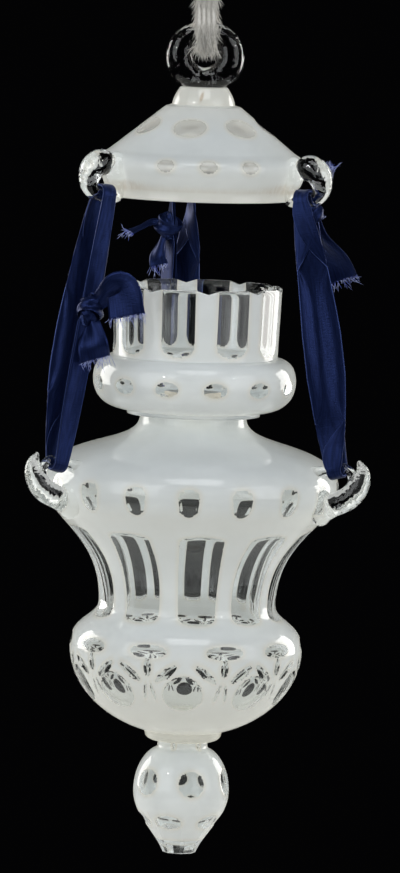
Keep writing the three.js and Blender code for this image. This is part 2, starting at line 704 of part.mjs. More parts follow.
// Each ribbon has its knot at its own share of the run down from the hook, with two loose ends.
// The knot's size, how far it stands proud and its loose ends are in widths of the ribbon.
const knots = {
  left: { down: 0.427, size: [0.31, 0.3, 0.43], proud: 0.21, ends: [
    { width: 0.62, steps: [[-0.14, 0.43, -0.38], [-0.33, 0.9, -0.67], [-0.43, 1.05, 0.1]] },
    { width: 0.57, steps: [[0.05, 0.19, 0.48], [0.1, 0.33, 0.9], [0, 0.29, 1.24]] },
  ] },
  right: { down: 0.055, size: [0.26, 0.24, 0.29], proud: 0.22, ends: [
    { width: 0.38, steps: [[0.14, 0.14, -0.38], [0.29, 0.24, -0.81], [0.33, 0.29, -1.19]] },
    { width: 0.62, steps: [[0.1, 0.29, 0.57], [0.29, 0.67, 1.14], [0.43, 0.9, 1.71]] },
  ] },
  back: { down: 0.152, size: [0.27, 0.27, 0.38], proud: 0.22, ends: [
    { width: 0.43, steps: [[0.1, 0.38, -0.1], [0.19, 0.71, 0.05], [0.14, 1, 0.19]] },
    { width: 0.38, steps: [[0.1, 0.14, 0.48], [0.14, 0.24, 0.81], [0.14, 0.19, 1.05]] },
  ] },
};

function ribbon(name) {
  const { down, size, proud, ends } = knots[name];
  const side = THREE.MathUtils.lerp(upperBend, lowerBend, down) + proud * ribbonWidth;
  const knot = ribbonPlace(-down * runLength, side);
  const lump = ellipsoid(knot.toArray(), size.map((share) => share * ribbonWidth), knotSteps, knotSteps);
  return joined([ribbonLoop(), lump, ...ends.map(({ width, steps }) => looseEnd(knot, steps, width))]);
}

// Floating light, lying on the floor of the cup: a cork ring, its tin plate with a wick tube, and the wick
const floatZ = cupLipZ + cupFloor + fusedGap;
const plateZ = floatZ + floatHeight + fusedGap;
const tubeBore = wickRadius + fusedGap;
const tubeOuter = tubeBore + wickTubeWall;
const plateRadius = floatRadius - floatEdge;

function corkFloat() {
  const bore = tubeOuter + fusedGap;
  const top = floatZ + floatHeight;
  return toSolid(ringOf([
    at(bore, floatZ), at(plateRadius, floatZ), at(floatRadius, floatZ + floatEdge),
    at(floatRadius, top - floatEdge), at(plateRadius, top), at(bore, top),
  ], smallSteps));
}

function floatPlate() {
  const tubeLow = plateZ - wickTubeHeight / 2;
  const tubeHigh = plateZ + wickTubeHeight / 2;
  const plateTop = plateZ + floatPlateThickness;
  return toSolid(ringOf([
    at(tubeBore, tubeLow), at(tubeOuter, tubeLow), at(tubeOuter, plateZ), at(plateRadius, plateZ),
    at(plateRadius, plateTop), at(tubeOuter, plateTop), at(tubeOuter, tubeHigh), at(tubeBore, tubeHigh),
  ], smallSteps));
}

function wick() {
  const geometry = new THREE.CylinderGeometry(wickRadius, wickRadius, wickHeight, 10);
  geometry.rotateX(Math.PI / 2);
  geometry.translate(0, 0, floatZ + wickHeight / 2);
  return toSolid(geometry);
}

// The lamp
const group = new THREE.Group();
group.add(
  namedMesh('hanging_cord', hangingCord(), cotton),
  namedMesh('cord_tie', cordTie(), cotton),
  namedMesh('hanging_ring', hangingRing(), clearGlass),
  namedMesh('ring_knop', ringKnop(), casedGlass),
  namedMesh('canopy', canopy(), casedGlass),
  namedMesh('bowl', bowl(), casedGlass),
  namedMesh('foot_merese', footMerese(), casedGlass),
  namedMesh('drop_finial', dropFinial(), casedGlass),
  namedMesh('crown_cup', crownCup(), casedGlass),
  namedMesh('cork_float', corkFloat(), corkBrown),
  namedMesh('float_plate', floatPlate(), tinPlate),
  namedMesh('wick', wick(), cotton),
);

for (const [name, azimuth] of Object.entries(hookAzimuths)) {
  const stand = new THREE.Group();
  stand.rotation.z = THREE.MathUtils.degToRad(azimuth);
  stand.add(
    namedMesh(`canopy_hook_${name}`, canopyHook(), clearGlass),
    namedMesh(`bowl_hook_${name}`, bowlEye(), clearGlass),
    namedMesh(`ribbon_${name}`, ribbon(name), navySatin),
  );
  group.add(stand);
}

export default group;
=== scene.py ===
# A hanging night lamp of clear glass cased in white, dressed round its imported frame. Metres, +Z up.
import math

import bmesh
import bpy
import numpy as np
from mathutils import Matrix


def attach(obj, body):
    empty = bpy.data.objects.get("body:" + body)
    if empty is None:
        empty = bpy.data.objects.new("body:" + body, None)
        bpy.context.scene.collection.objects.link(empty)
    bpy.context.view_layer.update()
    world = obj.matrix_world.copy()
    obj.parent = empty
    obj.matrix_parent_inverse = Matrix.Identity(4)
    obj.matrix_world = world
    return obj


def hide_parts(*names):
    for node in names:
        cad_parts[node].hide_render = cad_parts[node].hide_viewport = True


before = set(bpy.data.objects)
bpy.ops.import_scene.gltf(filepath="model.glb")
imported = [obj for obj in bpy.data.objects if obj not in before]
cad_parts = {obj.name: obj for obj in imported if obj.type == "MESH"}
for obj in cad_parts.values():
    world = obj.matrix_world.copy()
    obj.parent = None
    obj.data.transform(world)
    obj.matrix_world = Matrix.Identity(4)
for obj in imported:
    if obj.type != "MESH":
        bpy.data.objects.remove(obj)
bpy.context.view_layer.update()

rng = np.random.default_rng(1860)

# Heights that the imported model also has, in metres
height = {
    "hole": -0.0688,           # middle of the ring's hole
    "knopTop": -0.08665,
    "canopyTop": -0.09555,
    "canopyWidest": -0.12755,
    "lip": -0.14555,
    "hookRod": -0.14425,
    "shoulder": -0.30125,
    "neckRim": -0.26385,
    "waist": -0.36625,
    "belly": -0.39025,
    "bowlFoot": -0.43595,
    "cupLip": -0.26355,
    "crownFoot": -0.23195,
    "crownRim": -0.19345,
    "mereseTop": -0.43625,
    "stemTop": -0.44175,
    "stemFoot": -0.44475,
    "dropWidest": -0.46905,
    "tip": -0.50285,
}
hookAzimuths = {"left": 210, "right": 330, "back": 95}
frontAzimuth = -94             # degrees: the side of the lamp that faces the camera


def linked(name, data):
    # an object for the data, in the scene
    thing = bpy.data.objects.new(name, data)
    bpy.context.collection.objects.link(thing)
    return thing


def stand(thing, right, up, back, where):
    # the object's own three directions and its place are the columns of its matrix
    turned = np.eye(4)
    turned[:3] = np.stack([right, up, back, where], axis=1)
    thing.matrix_world = Matrix(turned.tolist())


# Camera: a long lens a little above the lamp and a little to its left, rolled slightly
cameraSet = {"side": -4.0, "above": 5.2, "roll": 1.9, "distance": 4.5, "sensor": 36, "clip": (0.1, 30),
             "pictureHeight": 0.4732, "aimRight": 0.004, "aimHeight": -0.2756}


def makeCamera(c):
    # the view's directions from its angles, and a lens whose long side spans the picture's height
    side, above, roll = (math.radians(c[k]) for k in ("side", "above", "roll"))
    back = np.array([math.sin(side) * math.cos(above), -math.cos(side) * math.cos(above), math.sin(above)])
    right = np.array([math.cos(side), math.sin(side), 0.0])
    upright = np.cross(back, right)
    across = math.cos(roll) * right + math.sin(roll) * upright
    up = math.cos(roll) * upright - math.sin(roll) * right
    where = right * c["aimRight"] + np.array([0, 0, c["aimHeight"]]) + back * c["distance"]
    lens = bpy.data.cameras.new("camera")
    lens.sensor_width = c["sensor"]
    lens.lens = c["sensor"] * c["distance"] / c["pictureHeight"]
    lens.clip_start, lens.clip_end = c["clip"]
    camera = linked("camera", lens)
    stand(camera, across, up, back, where)
    bpy.context.scene.camera = camera


makeCamera(cameraSet)
print("camera placed")


# Mesh making

def bareMesh(name, points, faces):
    # a mesh object at the origin from arrays of corner places and of face corners
    mesh = bpy.data.meshes.new(name)
    mesh.from_pydata(points.reshape(-1, 3).tolist(), [], faces.tolist())
    return linked(name, mesh)


def gridFaces(rows, columns, wrapRows=False):
    # a square for each pair of neighbouring rows and columns, turning left seen from outside
    i = np.arange(rows if wrapRows else rows - 1)[:, None]
    j = np.arange(columns)[None, :]
    ahead, beside = (i + 1) % rows, (j + 1) % columns
    corners = [i * columns + j, i * columns + beside, ahead * columns + beside, ahead * columns + j]
    return np.stack(np.broadcast_arrays(*corners), axis=-1).reshape(-1, 4)


def setAttribute(piece, name, values):
    # one number for each corner place
    attribute = piece.data.attributes.new(name, "FLOAT", "POINT")
    attribute.data.foreach_set("value", np.asarray(values, np.float32).ravel())


def setUv(piece, u, v):
    # u and v are given for each corner place and handed to the face corners that use it
    layer = piece.data.uv_layers.new(name="along")
    corner = np.zeros(len(piece.data.loops), np.int32)
    piece.data.loops.foreach_get("vertex_index", corner)
    both = np.stack([np.ravel(u)[corner], np.ravel(v)[corner]], axis=1)
    layer.uv.foreach_set("vector", both.astype(np.float32).ravel())


def tidyMesh(piece, gap=2e-6):
    # corners in one place become one, which closes poles, and faces are shaded smooth
    work = bmesh.new()
    work.from_mesh(piece.data)
    bmesh.ops.remove_doubles(work, verts=work.verts, dist=gap)
    work.to_mesh(piece.data)
    work.free()
    piece.data.polygons.foreach_set("use_smooth", np.ones(len(piece.data.polygons), bool))
    piece.data.update()


def workIn(piece):
    # the piece's mesh becomes what its modifiers make of it
    seen = piece.evaluated_get(bpy.context.evaluated_depsgraph_get())
    mesh = bpy.data.meshes.new_from_object(seen)
    piece.modifiers.clear()
    piece.data = mesh


def unit(v):
    # each vector divided by its own length
    return v / np.maximum(np.linalg.norm(v, axis=-1, keepdims=True), 1e-12)


def ease(t):
    # from 0 to 1 without a slope at either end: t squared times (3 - 2t)
    t = np.clip(t, 0, 1)
    return t**2 * (3 - 2 * t)


def smoothPath(points, steps):
    # a curve through the points, each stretch a cubic that takes its slopes from its neighbours
    p = np.asarray(points, float)
    p = np.vstack([2 * p[0] - p[1], p, 2 * p[-1] - p[-2]])
    t = np.linspace(0, 1, steps, endpoint=False)[None, :, None]
    a, b, c, d = (p[k:len(p) - 3 + k][:, None, :] for k in range(4))
    run = 0.5 * (2 * b + (c - a) * t + (2 * a - 5 * b + 4 * c - d) * t**2 + (3 * b - a - 3 * c + d) * t**3)
    return np.vstack([run.reshape(-1, p.shape[1]), p[-2]])


def pathLengths(path):
    # how far along the path each place is: the running sum of the steps between places
    return np.concatenate([[0], np.cumsum(np.linalg.norm(np.diff(path, axis=0), axis=1))])


def evenPath(path, count):
    # the same path as so many places at even steps, each between its two neighbours
    walked = pathLengths(path)
    at = np.linspace(0, walked[-1], count)
    return np.stack([np.interp(at, walked, path[:, k]) for k in range(path.shape[1])], axis=1)


def sweep(path, reference, across, up):
    # a section carried along a path: across lies along the reference made square to the path, up
    # is square to both
    ahead = unit(np.gradient(path, axis=0))
    side = unit(reference - (reference * ahead).sum(1, keepdims=True) * ahead)
    top = np.cross(ahead, side)
    return path[:, None] + side[:, None] * across[..., None] + top[:, None] * up[..., None]


def roundTube(name, path, reference, radii, sides, tip=1e-3):
    # circles along a path, each with its own radius, closed at each end by a cone whose height is
    # the tip's share of a step
    path = np.vstack([path[:1], path, path[-1:]])
    path[0] -= (path[2] - path[1]) * tip
    path[-1] += (path[-2] - path[-3]) * tip
    radii = np.concatenate([[0], radii, [0]])[:, None]
    angle = np.linspace(0, 2 * np.pi, sides, endpoint=False)
    grid = sweep(path, reference, radii * np.cos(angle), radii * np.sin(angle))
    return bareMesh(name, grid, gridFaces(len(path), sides))


def ballGrid(rows, columns):
    # a unit ball from pole to pole: its polar angle, its turn, and its three coordinates
    polar = np.linspace(0, np.pi, rows)[:, None]
    turn = np.linspace(0, 2 * np.pi, columns, endpoint=False)
    ball = (np.sin(polar) * np.cos(turn), np.sin(polar) * np.sin(turn), -np.cos(polar) + 0 * turn)
    return polar, turn, ball


def joinInto(first, others):
    # the first piece's mesh takes in the faces of the others, which go
    work = bmesh.new()
    for piece in (first, *others):
        work.from_mesh(piece.data)
    work.to_mesh(first.data)
    work.free()
    for piece in others:
        bpy.data.objects.remove(piece)
    return first


# Materials

def newMaterial(name, settings):
    # a material with the settings on its shader's own sockets
    material = bpy.data.materials.new(name)
    material.use_nodes = True
    nodes = material.node_tree.nodes
    shader = nodes["Principled BSDF"]
    for socket, value in settings.items():
        shader.inputs[socket].default_value = value
    return material, nodes, shader


def add(nodes, kind, **values):
    # a node with its settings, and its inputs where a name is one of its sockets
    node = nodes.new(kind)
    for name, value in values.items():
        if name in node.inputs:
            node.inputs[name].default_value = value
        else:
            setattr(node, name, value)
    return node


def wire(source, target):
    # a link from one socket to another, in the node tree that both belong to
    source.id_data.links.new(source, target)


def mixColours(share, first, second):
    # the first colour where the share is 0 and the second where it is 1
    mix = add(share.id_data.nodes, "ShaderNodeMix", data_type="RGBA")
    for socket, value in ((mix.inputs[0], share), (mix.inputs[6], first), (mix.inputs[7], second)):
        if isinstance(value, bpy.types.NodeSocket):
            wire(value, socket)
        else:
            socket.default_value = value
    return mix.outputs[2]


def ranged(value, *bounds):
    # the value moved from one range to another; the second is 0 to 1 where only one is given
    ends = dict(zip(("From Min", "From Max", "To Min", "To Max"), bounds))
    node = add(value.id_data.nodes, "ShaderNodeMapRange", **ends)
    wire(value, node.inputs["Value"])
    return node.outputs[0]


def product(first, second):
    # one value times the other
    node = add(first.id_data.nodes, "ShaderNodeMath", operation="MULTIPLY")
    wire(first, node.inputs[0])
    wire(second, node.inputs[1])
    return node.outputs[0]


def stretched(place, scale):
    # the place times a scale of its own in each direction
    node = add(place.id_data.nodes, "ShaderNodeMapping", Scale=scale)
    wire(place, node.inputs["Vector"])
    return node.outputs[0]


def noise(place, **settings):
    # cloudy noise at the place, about 0.5
    node = add(place.id_data.nodes, "ShaderNodeTexNoise", **settings)
    wire(place, node.inputs["Vector"])
    return node.outputs[0]


def tipNormal(shader, rise, strength, distance):
    # the slope of the rise tips the shader's normal
    node = add(rise.id_data.nodes, "ShaderNodeBump", Strength=strength, Distance=distance)
    wire(rise, node.inputs["Height"])
    wire(node.outputs[0], shader.inputs["Normal"])


def letLampsThrough(surface, tint):
    # rays towards lamps pass the glass, so that what is inside it is lit
    nodes = surface.id_data.nodes
    path = add(nodes, "ShaderNodeLightPath")
    clear = add(nodes, "ShaderNodeBsdfTransparent", Color=tint)
    mix = add(nodes, "ShaderNodeMixShader")
    wire(path.outputs["Is Shadow Ray"], mix.inputs[0])
    wire(surface, mix.inputs[1])
    wire(clear.outputs[0], mix.inputs[2])
    wire(mix.outputs[0], nodes["Material Output"].inputs["Surface"])


# Glass: soft clouds and short upright streaks are in all of it. Patches, scratches and roughness are
# ranges, and a bump is its strength and its distance
cloudSet = {"cloudScale": 40, "streakScale": 260, "streakStretch": (1, 1, 0.18)}
casingLook = {"milk": (0.65, 0.70, 0.75, 1), "cloud": (0.57, 0.62, 0.67, 1), "cream": (0.58, 0.57, 0.53, 1),
              "stainAndShade": (0.26, 0.15, 0.07, 1), "glow": (0.84, 0.83, 0.78, 1), "through": 0.40,
              "shadow": (0.94, 0.93, 0.89, 1), "patches": (0.35, 0.65), "scratches": (0.4, 0.8),
              "roughness": (0.04, 0.12), "bump": (0.12, 0.002),
              "shader": {"Coat Weight": 0.6, "Coat Roughness": 0.02, "IOR": 1.5}}
clearLook = {"shadow": (0.97, 0.975, 0.97, 1), "scratches": (0.5, 0.85), "index": 1.5,
             "rippleDistance": 0.004}
clearGlasses = {
    "windowGlass": {"tint": (0.97, 0.985, 0.98, 1), "through": 1.0, "roughness": (0.01, 0.09),
                    "cloudScale": 60, "ripple": 0},
    "groundGlass": {"tint": (0.80, 0.77, 0.71, 1), "through": 0.62, "roughness": (0.10, 0.30),
                    "cloudScale": 60, "ripple": 0},
    "hookGlass": {"tint": (0.97, 0.985, 0.98, 1), "through": 1.0, "roughness": (0.01, 0.09),
                  "cloudScale": 90, "ripple": 0.35},
}


def makeCloudGroup(c):
    # two noises on the piece's own coordinates, about 0.5: even clouds, and streaks drawn out in height
    group = bpy.data.node_groups.new("glassClouds", "ShaderNodeTree")
    sockets = {name: group.interface.new_socket(name, in_out=way, socket_type="NodeSocketFloat")
               for name, way in (("Cloud Scale", "INPUT"), ("Streak Scale", "INPUT"),
                                 ("Clouds", "OUTPUT"), ("Scratches", "OUTPUT"))}
    sockets["Cloud Scale"].default_value = c["cloudScale"]
    sockets["Streak Scale"].default_value = c["streakScale"]
    nodes = group.nodes
    inlet = nodes.new("NodeGroupInput")
    outlet = nodes.new("NodeGroupOutput")
    place = add(nodes, "ShaderNodeTexCoord").outputs["Object"]
    clouds = noise(place, Detail=3.0, Roughness=0.55)
    streaks = noise(stretched(place, c["streakStretch"]),
                    Detail=2.0, Roughness=0.6, Distortion=1.5)
    for value, scale, out in ((clouds, "Cloud Scale", "Clouds"), (streaks, "Streak Scale", "Scratches")):
        wire(inlet.outputs[scale], value.node.inputs["Scale"])
        wire(value, outlet.inputs[out])
    return group


def makeCasing(look):
    # white glass over clear: glossy, milky, a little see-through to light from behind, creamier where it was
    # ground thin beside a window, darker and creamier by height as painted shade on downward-facing parts,
    # brown where old residue sits, and brown as the painted shade of the knop's nick
    material, nodes, shader = newMaterial("whiteCasing", look["shader"])
    clouds = add(nodes, "ShaderNodeGroup", node_tree=cloudGroup)
    # cream beside ground rims, and by height painted shade on downward-facing parts
    edge = add(nodes, "ShaderNodeAttribute", attribute_name="thinnedAndShaded")
    # brown marks: residue beside the canopy's hooks, faint lines above its lip, and painted shade in the
    # knop's nick
    stainAndShade = add(nodes, "ShaderNodeAttribute", attribute_name="stainedAndShaded")
    patch = ranged(clouds.outputs["Clouds"], *look["patches"])
    milky = mixColours(patch, look["milk"], look["cloud"])
    creamy = mixColours(edge.outputs["Fac"], milky, look["cream"])
    broken = product(stainAndShade.outputs["Fac"], clouds.outputs["Scratches"])
    wire(mixColours(broken, creamy, look["stainAndShade"]), shader.inputs["Base Color"])
    dull = ranged(clouds.outputs["Scratches"], *look["scratches"], *look["roughness"])
    wire(dull, shader.inputs["Roughness"])
    tipNormal(shader, clouds.outputs["Clouds"], *look["bump"])
    glow = add(nodes, "ShaderNodeBsdfTranslucent", Color=look["glow"])
    mix = add(nodes, "ShaderNodeMixShader", Fac=look["through"])
    wire(shader.outputs[0], mix.inputs[1])
    wire(glow.outputs[0], mix.inputs[2])
    letLampsThrough(mix.outputs[0], look["shadow"])
    return material


def makeClear(name, glass, look):
    # clear glass, dull along its streaks; a ripple lets the clouds tip its face
    settings = {"Base Color": glass["tint"], "Transmission Weight": glass["through"], "IOR": look["index"]}
    material, nodes, shader = newMaterial(name, settings)
    clouds = add(nodes, "ShaderNodeGroup", node_tree=cloudGroup)
    clouds.inputs["Cloud Scale"].default_value = glass["cloudScale"]
    dull = ranged(clouds.outputs["Scratches"], *look["scratches"], *glass["roughness"])
    wire(dull, shader.inputs["Roughness"])
    if glass["ripple"]:
        tipNormal(shader, clouds.outputs["Clouds"], glass["ripple"], look["rippleDistance"])
    letLampsThrough(shader.outputs[0], look["shadow"])
    return material


cloudGroup = makeCloudGroup(cloudSet)
casing = makeCasing(casingLook)
windowGlass, groundGlass, hookGlass = (makeClear(name, clearGlasses[name], clearLook)
                                       for name in ("windowGlass", "groundGlass", "hookGlass"))
print("glass materials made")


# Hanging string: four turns round the ring and over the top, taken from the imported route
stringSet = {"radius": 0.00105, "gap": 0.0005, "turns": 4, "drop": -height["hole"], "loop": 0.006,
             "ringMiddle": 0.01215, "bight": 0.0073, "tieTop": 0.0418, "tieBottom": 0.0348, "endTuck": 0.0003,
             "plies": 3, "lay": 0.0085, "groove": 0.20, "sides": 15, "step": 0.00055,
             "smooth": 8}


def stringRoute(s):
    # heights above the ring's hole and distances behind it, turn by turn; the height and the sideways
    # drift together keep each turn at its own distance from the hole
    row = s["radius"] + s["gap"] / 2
    wide = 2 * s["radius"]
    quarter = np.arange(4) / 4
    half = np.pi * np.arange(9) / 8
    topMiddle = s["drop"] - s["radius"] - s["loop"]
    run = np.stack([s["tieBottom"] - wide + (s["ringMiddle"] - s["tieBottom"] + wide) * quarter,
                    row + (s["bight"] - row) * ease(quarter)], axis=1)
    bight = np.stack([s["ringMiddle"] - s["bight"] * np.sin(half), -s["bight"] * np.cos(half)], axis=1)
    rise = np.stack([s["tieTop"] + wide + (topMiddle - s["tieTop"] - wide) * quarter,
                     row + (s["loop"] - row) * ease(quarter)], axis=1)
    over = np.stack([topMiddle + s["loop"] * np.sin(half), s["loop"] * np.cos(half)], axis=1)
    tie = np.array([[s["tieBottom"], row], [s["tieTop"], row]])
    flip = np.array([1, -1])
    lower = np.vstack([run * flip, bight, run[::-1]])
    top = np.vstack([tie, rise, over, np.vstack([tie, rise])[::-1] * flip])
    turns = [part for _ in range(s["turns"] - 1) for part in (lower, top)]
    endHeight = s["tieBottom"] - s["endTuck"]
    stations = np.vstack([[endHeight, -row], *turns, lower, [endHeight, row]])
    middle = (len(stations) - 1) / 2
    x = (wide + s["gap"]) * (np.arange(len(stations)) - middle) / (len(lower) + len(top))
    z = height["hole"] + np.sqrt(stations[:, 0] ** 2 - x**2)
    return np.stack([x, stations[:, 1], z], axis=1)


def pliedCord(name, path, reference, s):
    # plies twisted together: the radius dips between plies, and the dips turn once a lay
    walked = pathLengths(path)[:, None]
    angle = np.linspace(0, 2 * np.pi, s["sides"], endpoint=False)
    turned = angle - 2 * np.pi * walked / s["lay"]
    radius = s["radius"] * (1 - s["groove"] + s["groove"] * np.abs(np.cos(turned * s["plies"] / 2)))
    radius[[0, -1]] = 0
    grid = sweep(path, np.array(reference), radius * np.cos(angle), radius * np.sin(angle))
    piece = bareMesh(name, grid, gridFaces(*grid.shape[:2]))
    setUv(piece, turned / (2 * np.pi), np.broadcast_to(walked / s["lay"], turned.shape))
    tidyMesh(piece)
    return piece


def makeString(s):
    # a smooth curve through the route's places, in even steps
    route = smoothPath(stringRoute(s), s["smooth"])
    length = pathLengths(route)[-1]
    path = evenPath(route, int(length / s["step"]))
    return pliedCord("string", path, (1.0, 0, 0), s), path, length


string, stringPath, stringLength = makeString(stringSet)
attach(string, "string")
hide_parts("hanging_cord")
print(f"string wound, {stringLength:.3f} m")


# Turned glass: outlines are rows of (radius, height), and windows are places where the white was cut
curveSteps = 97                # places at which an outline's stretch is worked out
farOutside = 4.0               # the window field away from all windows
insideMark = -9.0              # and on the inner faces
# how far beside a rim the casing is thinned, the steps that slopes are measured with, and the share
# of a cell within which places are moved onto the rim
cutSet = {"thinReach": 0.0016, "slopeStep": 2e-5, "leastRadius": 1e-4, "moved": 0.5}


def bend(start, leave, arrive, end):
    # the cubic that leaves and arrives at shares of its own width and height
    start, end = np.array(start, float), np.array(end, float)
    span = end - start
    t = np.linspace(0, 1, curveSteps)[:, None]
    first, second = start + span * leave, end - span * arrive
    return (1 - t) ** 3 * start + 3 * (1 - t) ** 2 * t * first + 3 * (1 - t) * t**2 * second + t**3 * end


def line(start, end):
    # even places from start to end
    return np.linspace(start, end, curveSteps)


def rowsAlong(stretches):
    # each stretch is cut into rows of its own spacing, and its ends stay
    rows = []
    for points, spacing in stretches:
        walked = pathLengths(points)
        count = max(2, int(np.ceil(walked[-1] / spacing)) + 1)
        rows.append(evenPath(points, count)[(1 if rows else 0):])
    return np.vstack(rows)


def moveSideways(rows, wall):
    # the outline moved to the left of its direction of travel, by one thickness or by one for each row
    ahead = unit(np.gradient(rows, axis=0))
    return rows + np.reshape(wall, (-1, 1)) * np.stack([-ahead[:, 1], ahead[:, 0]], axis=1)


def windowField(windows, angle, walked, radius, middles):
    # below 0 inside a window: the squared distance from its middle in its own half widths, less 1.
    # Also how deep the wheel cut there
    field = np.full(np.broadcast(angle, walked).shape, farOutside)
    depth = np.zeros_like(field)
    for w, middle in zip(windows, middles):
        pitch = 2 * np.pi / w["count"]
        turned = (angle - math.radians(frontAzimuth + w["first"])) / pitch
        nearest = np.round(turned)
        shifts = np.radians(w.get("shifts", [0] * w["count"]))
        away = (turned - nearest) * pitch - shifts[nearest.astype(int) % w["count"]]
        x = away * radius + w.get("lean", 0) * (walked - middle)
        y = walked - middle
        turn = math.radians(w.get("turn", 0))
        x, y = x * math.cos(turn) + y * math.sin(turn), y * math.cos(turn) - x * math.sin(turn)
        wide, tall = w["half"]
        straight = w.get("straight", 0)
        beyond = np.maximum(np.abs(y) - straight, 0)
        narrowing = 1 + w.get("taper", 0) * y / (tall + straight)
        xShare, yShare = (x / (wide * narrowing)) ** 2, (beyond / tall) ** 2
        here = xShare + yShare - 1
        here = np.where(np.isin(nearest.astype(int) % w["count"], w.get("leftOut", ())), farOutside, here)
        field = np.minimum(field, here)
        hollow = np.clip(-here, 0, 1)
        if w.get("groove"):
            # a groove keeps its depth along its middle and runs out quickly at its ends
            left = np.maximum(1 - yShare, 1e-3)
            hollow = np.clip(1 - xShare / left, 0, 1) * np.sqrt(left)
        depth = np.maximum(depth, w["cut"] * hollow)
    return field, depth


def windowMiddle(w, outer, walked):
    # how far along the outline the row lies that is nearest the window's height, and radius if given
    away = np.abs(outer[:, 1] - w["z"])
    if "r" in w:
        away = away + np.abs(outer[:, 0] - w["r"])
    return walked[np.argmin(away)]


def cutOuter(outer, walked, columns, windows):
    # places near a window's rim are moved onto it, by the field over its own slope, so that the rim is
    # smooth, and places inside it go inward by the depth of the cut
    middles = [windowMiddle(w, outer, walked) for w in windows]
    shape = (len(outer), columns)
    angle = np.broadcast_to(np.linspace(0, 2 * np.pi, columns, endpoint=False), shape)
    place = np.broadcast_to(walked[:, None], shape)
    radiusAt = lambda s: np.interp(s, walked, outer[:, 0])
    step = cutSet["slopeStep"]
    field, _ = windowField(windows, angle, place, radiusAt(place), middles)
    radius = np.maximum(radiusAt(place), cutSet["leastRadius"])
    slopeX = (windowField(windows, angle + step / radius, place, radius, middles)[0] - field) / step
    slopeY = (windowField(windows, angle, place + step, radiusAt(place + step), middles)[0] - field) / step
    slope2 = slopeX**2 + slopeY**2 + 1e-9
    distance = field / np.sqrt(slope2)
    reach = cutSet["moved"] * np.minimum(radius * 2 * np.pi / columns, np.gradient(walked)[:, None])
    near = (np.abs(distance) < reach) & (field < farOutside - 1)
    near[[0, -1]] = False
    angle = np.where(near, angle - field * slopeX / slope2 / radius, angle)
    place = np.where(near, place - field * slopeY / slope2, place)
    field = np.where(near, 0.0, field)
    depth = np.where(near, 0.0, windowField(windows, angle, place, radiusAt(place), middles)[1])
    ahead = unit(np.gradient(outer, axis=0))
    r = radiusAt(place) - depth * np.interp(place, walked, ahead[:, 1])
    z = np.interp(place, walked, outer[:, 1]) - depth * np.interp(place, walked, -ahead[:, 0])
    thin = np.exp(-(np.maximum(distance, 0) / cutSet["thinReach"]) ** 2) * (field < farOutside - 1)
    return r, z, angle, field, thin


def turnedGlass(name, outer, inner, columns, windows, shape=None, stainAndShade=None, materials=(casing, windowGlass),
                creamAndShade=((0, 0),)):
    # a shell turned about Z: the outer rows with their windows, then the inner rows back to the start
    r, z, turn, field, thin = cutOuter(outer, pathLengths(outer), columns, windows)
    same = (len(inner), columns)
    r, z, turn, field, thin = (np.vstack([front, np.broadcast_to(back, same)]) for front, back in (
        (r, inner[:, :1]), (z, inner[:, 1:]), (turn, turn[-1]), (field, insideMark), (thin, 0.0)))
    if shape is not None:
        r, z = shape(r, z, turn)
    grid = np.stack([r * np.cos(turn), r * np.sin(turn), z], axis=-1)
    faces = gridFaces(len(grid), columns, wrapRows=len(inner) > 0)
    piece = bareMesh(name, grid, faces)
    corner = field.ravel()[faces]
    fromInner = (corner < insideMark + 1).any(axis=1)
    clear = (corner.mean(axis=1) < 0) | fromInner
    for material in materials:
        piece.data.materials.append(material)
    # a third material, where one is given, is for the inner faces
    slots = clear.astype(np.int32) + (fromInner if len(materials) > 2 else 0)
    piece.data.polygons.foreach_set("material_index", slots)
    # cream share by height: the glass's own tone, and painted shade on downward-facing parts
    creamAndShadeShare = np.interp(grid[..., 2], *np.array(sorted(creamAndShade)).T)
    setAttribute(piece, "thinnedAndShaded", np.maximum(creamAndShadeShare, thin))
    setAttribute(piece, "stainedAndShaded", np.zeros(grid.shape[:2]) if stainAndShade is None else stainAndShade(grid))
    tidyMesh(piece)
    return piece


def glassPiece(piece, body, node):
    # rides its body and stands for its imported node
    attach(piece, body)
    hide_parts(node)
    return piece


# Canopy
canopySet = {"top": 0.0195, "widest": 0.0564, "lip": 0.052, "lipBand": 0.003, "wall": 0.0032, "columns": 360,
             "innerEvery": 4,           # the inner face has a row for so many of the outer one
             # the straight cone ends at shares of the way from the top, and the top's corner is rounded
             "coneEnd": (0.8, 0.76), "coneTop": (0.02, 0.03), "corner": 0.0022, "innerFrom": 0.001,
             # how cream the casing is at heights; the darker cream along the downward-facing lip band is
             # painted shade
             "creamAndShade": ((-0.146, 0.9), (-0.1395, 0.8), (-0.137, 0.15), (-0.110, 0.0), (-0.096, 0.5))}
canopyWindows = [
    {"count": 7, "first": -12.2, "z": -0.1070, "half": (0.0091, 0.0070), "cut": 0.0010},
    # the wheel left out those that stand beside a hook
    {"count": 15, "first": 4, "z": -0.1262, "half": (0.0049, 0.0037), "cut": 0.0005, "leftOut": (2, 8, 13)},
]
# brown in faint lines above the lip, as (strength, height above it, reach), and residue in patches beside the
# hooks
canopyBrownMarks = {"lines": ((0.35, 0.0058, 0.0006), (0.25, 0.0075, 0.002)), "hooks": 1.9,
                 "spread": 0.30, "low": -0.1425, "high": -0.1345, "fade": 0.004}


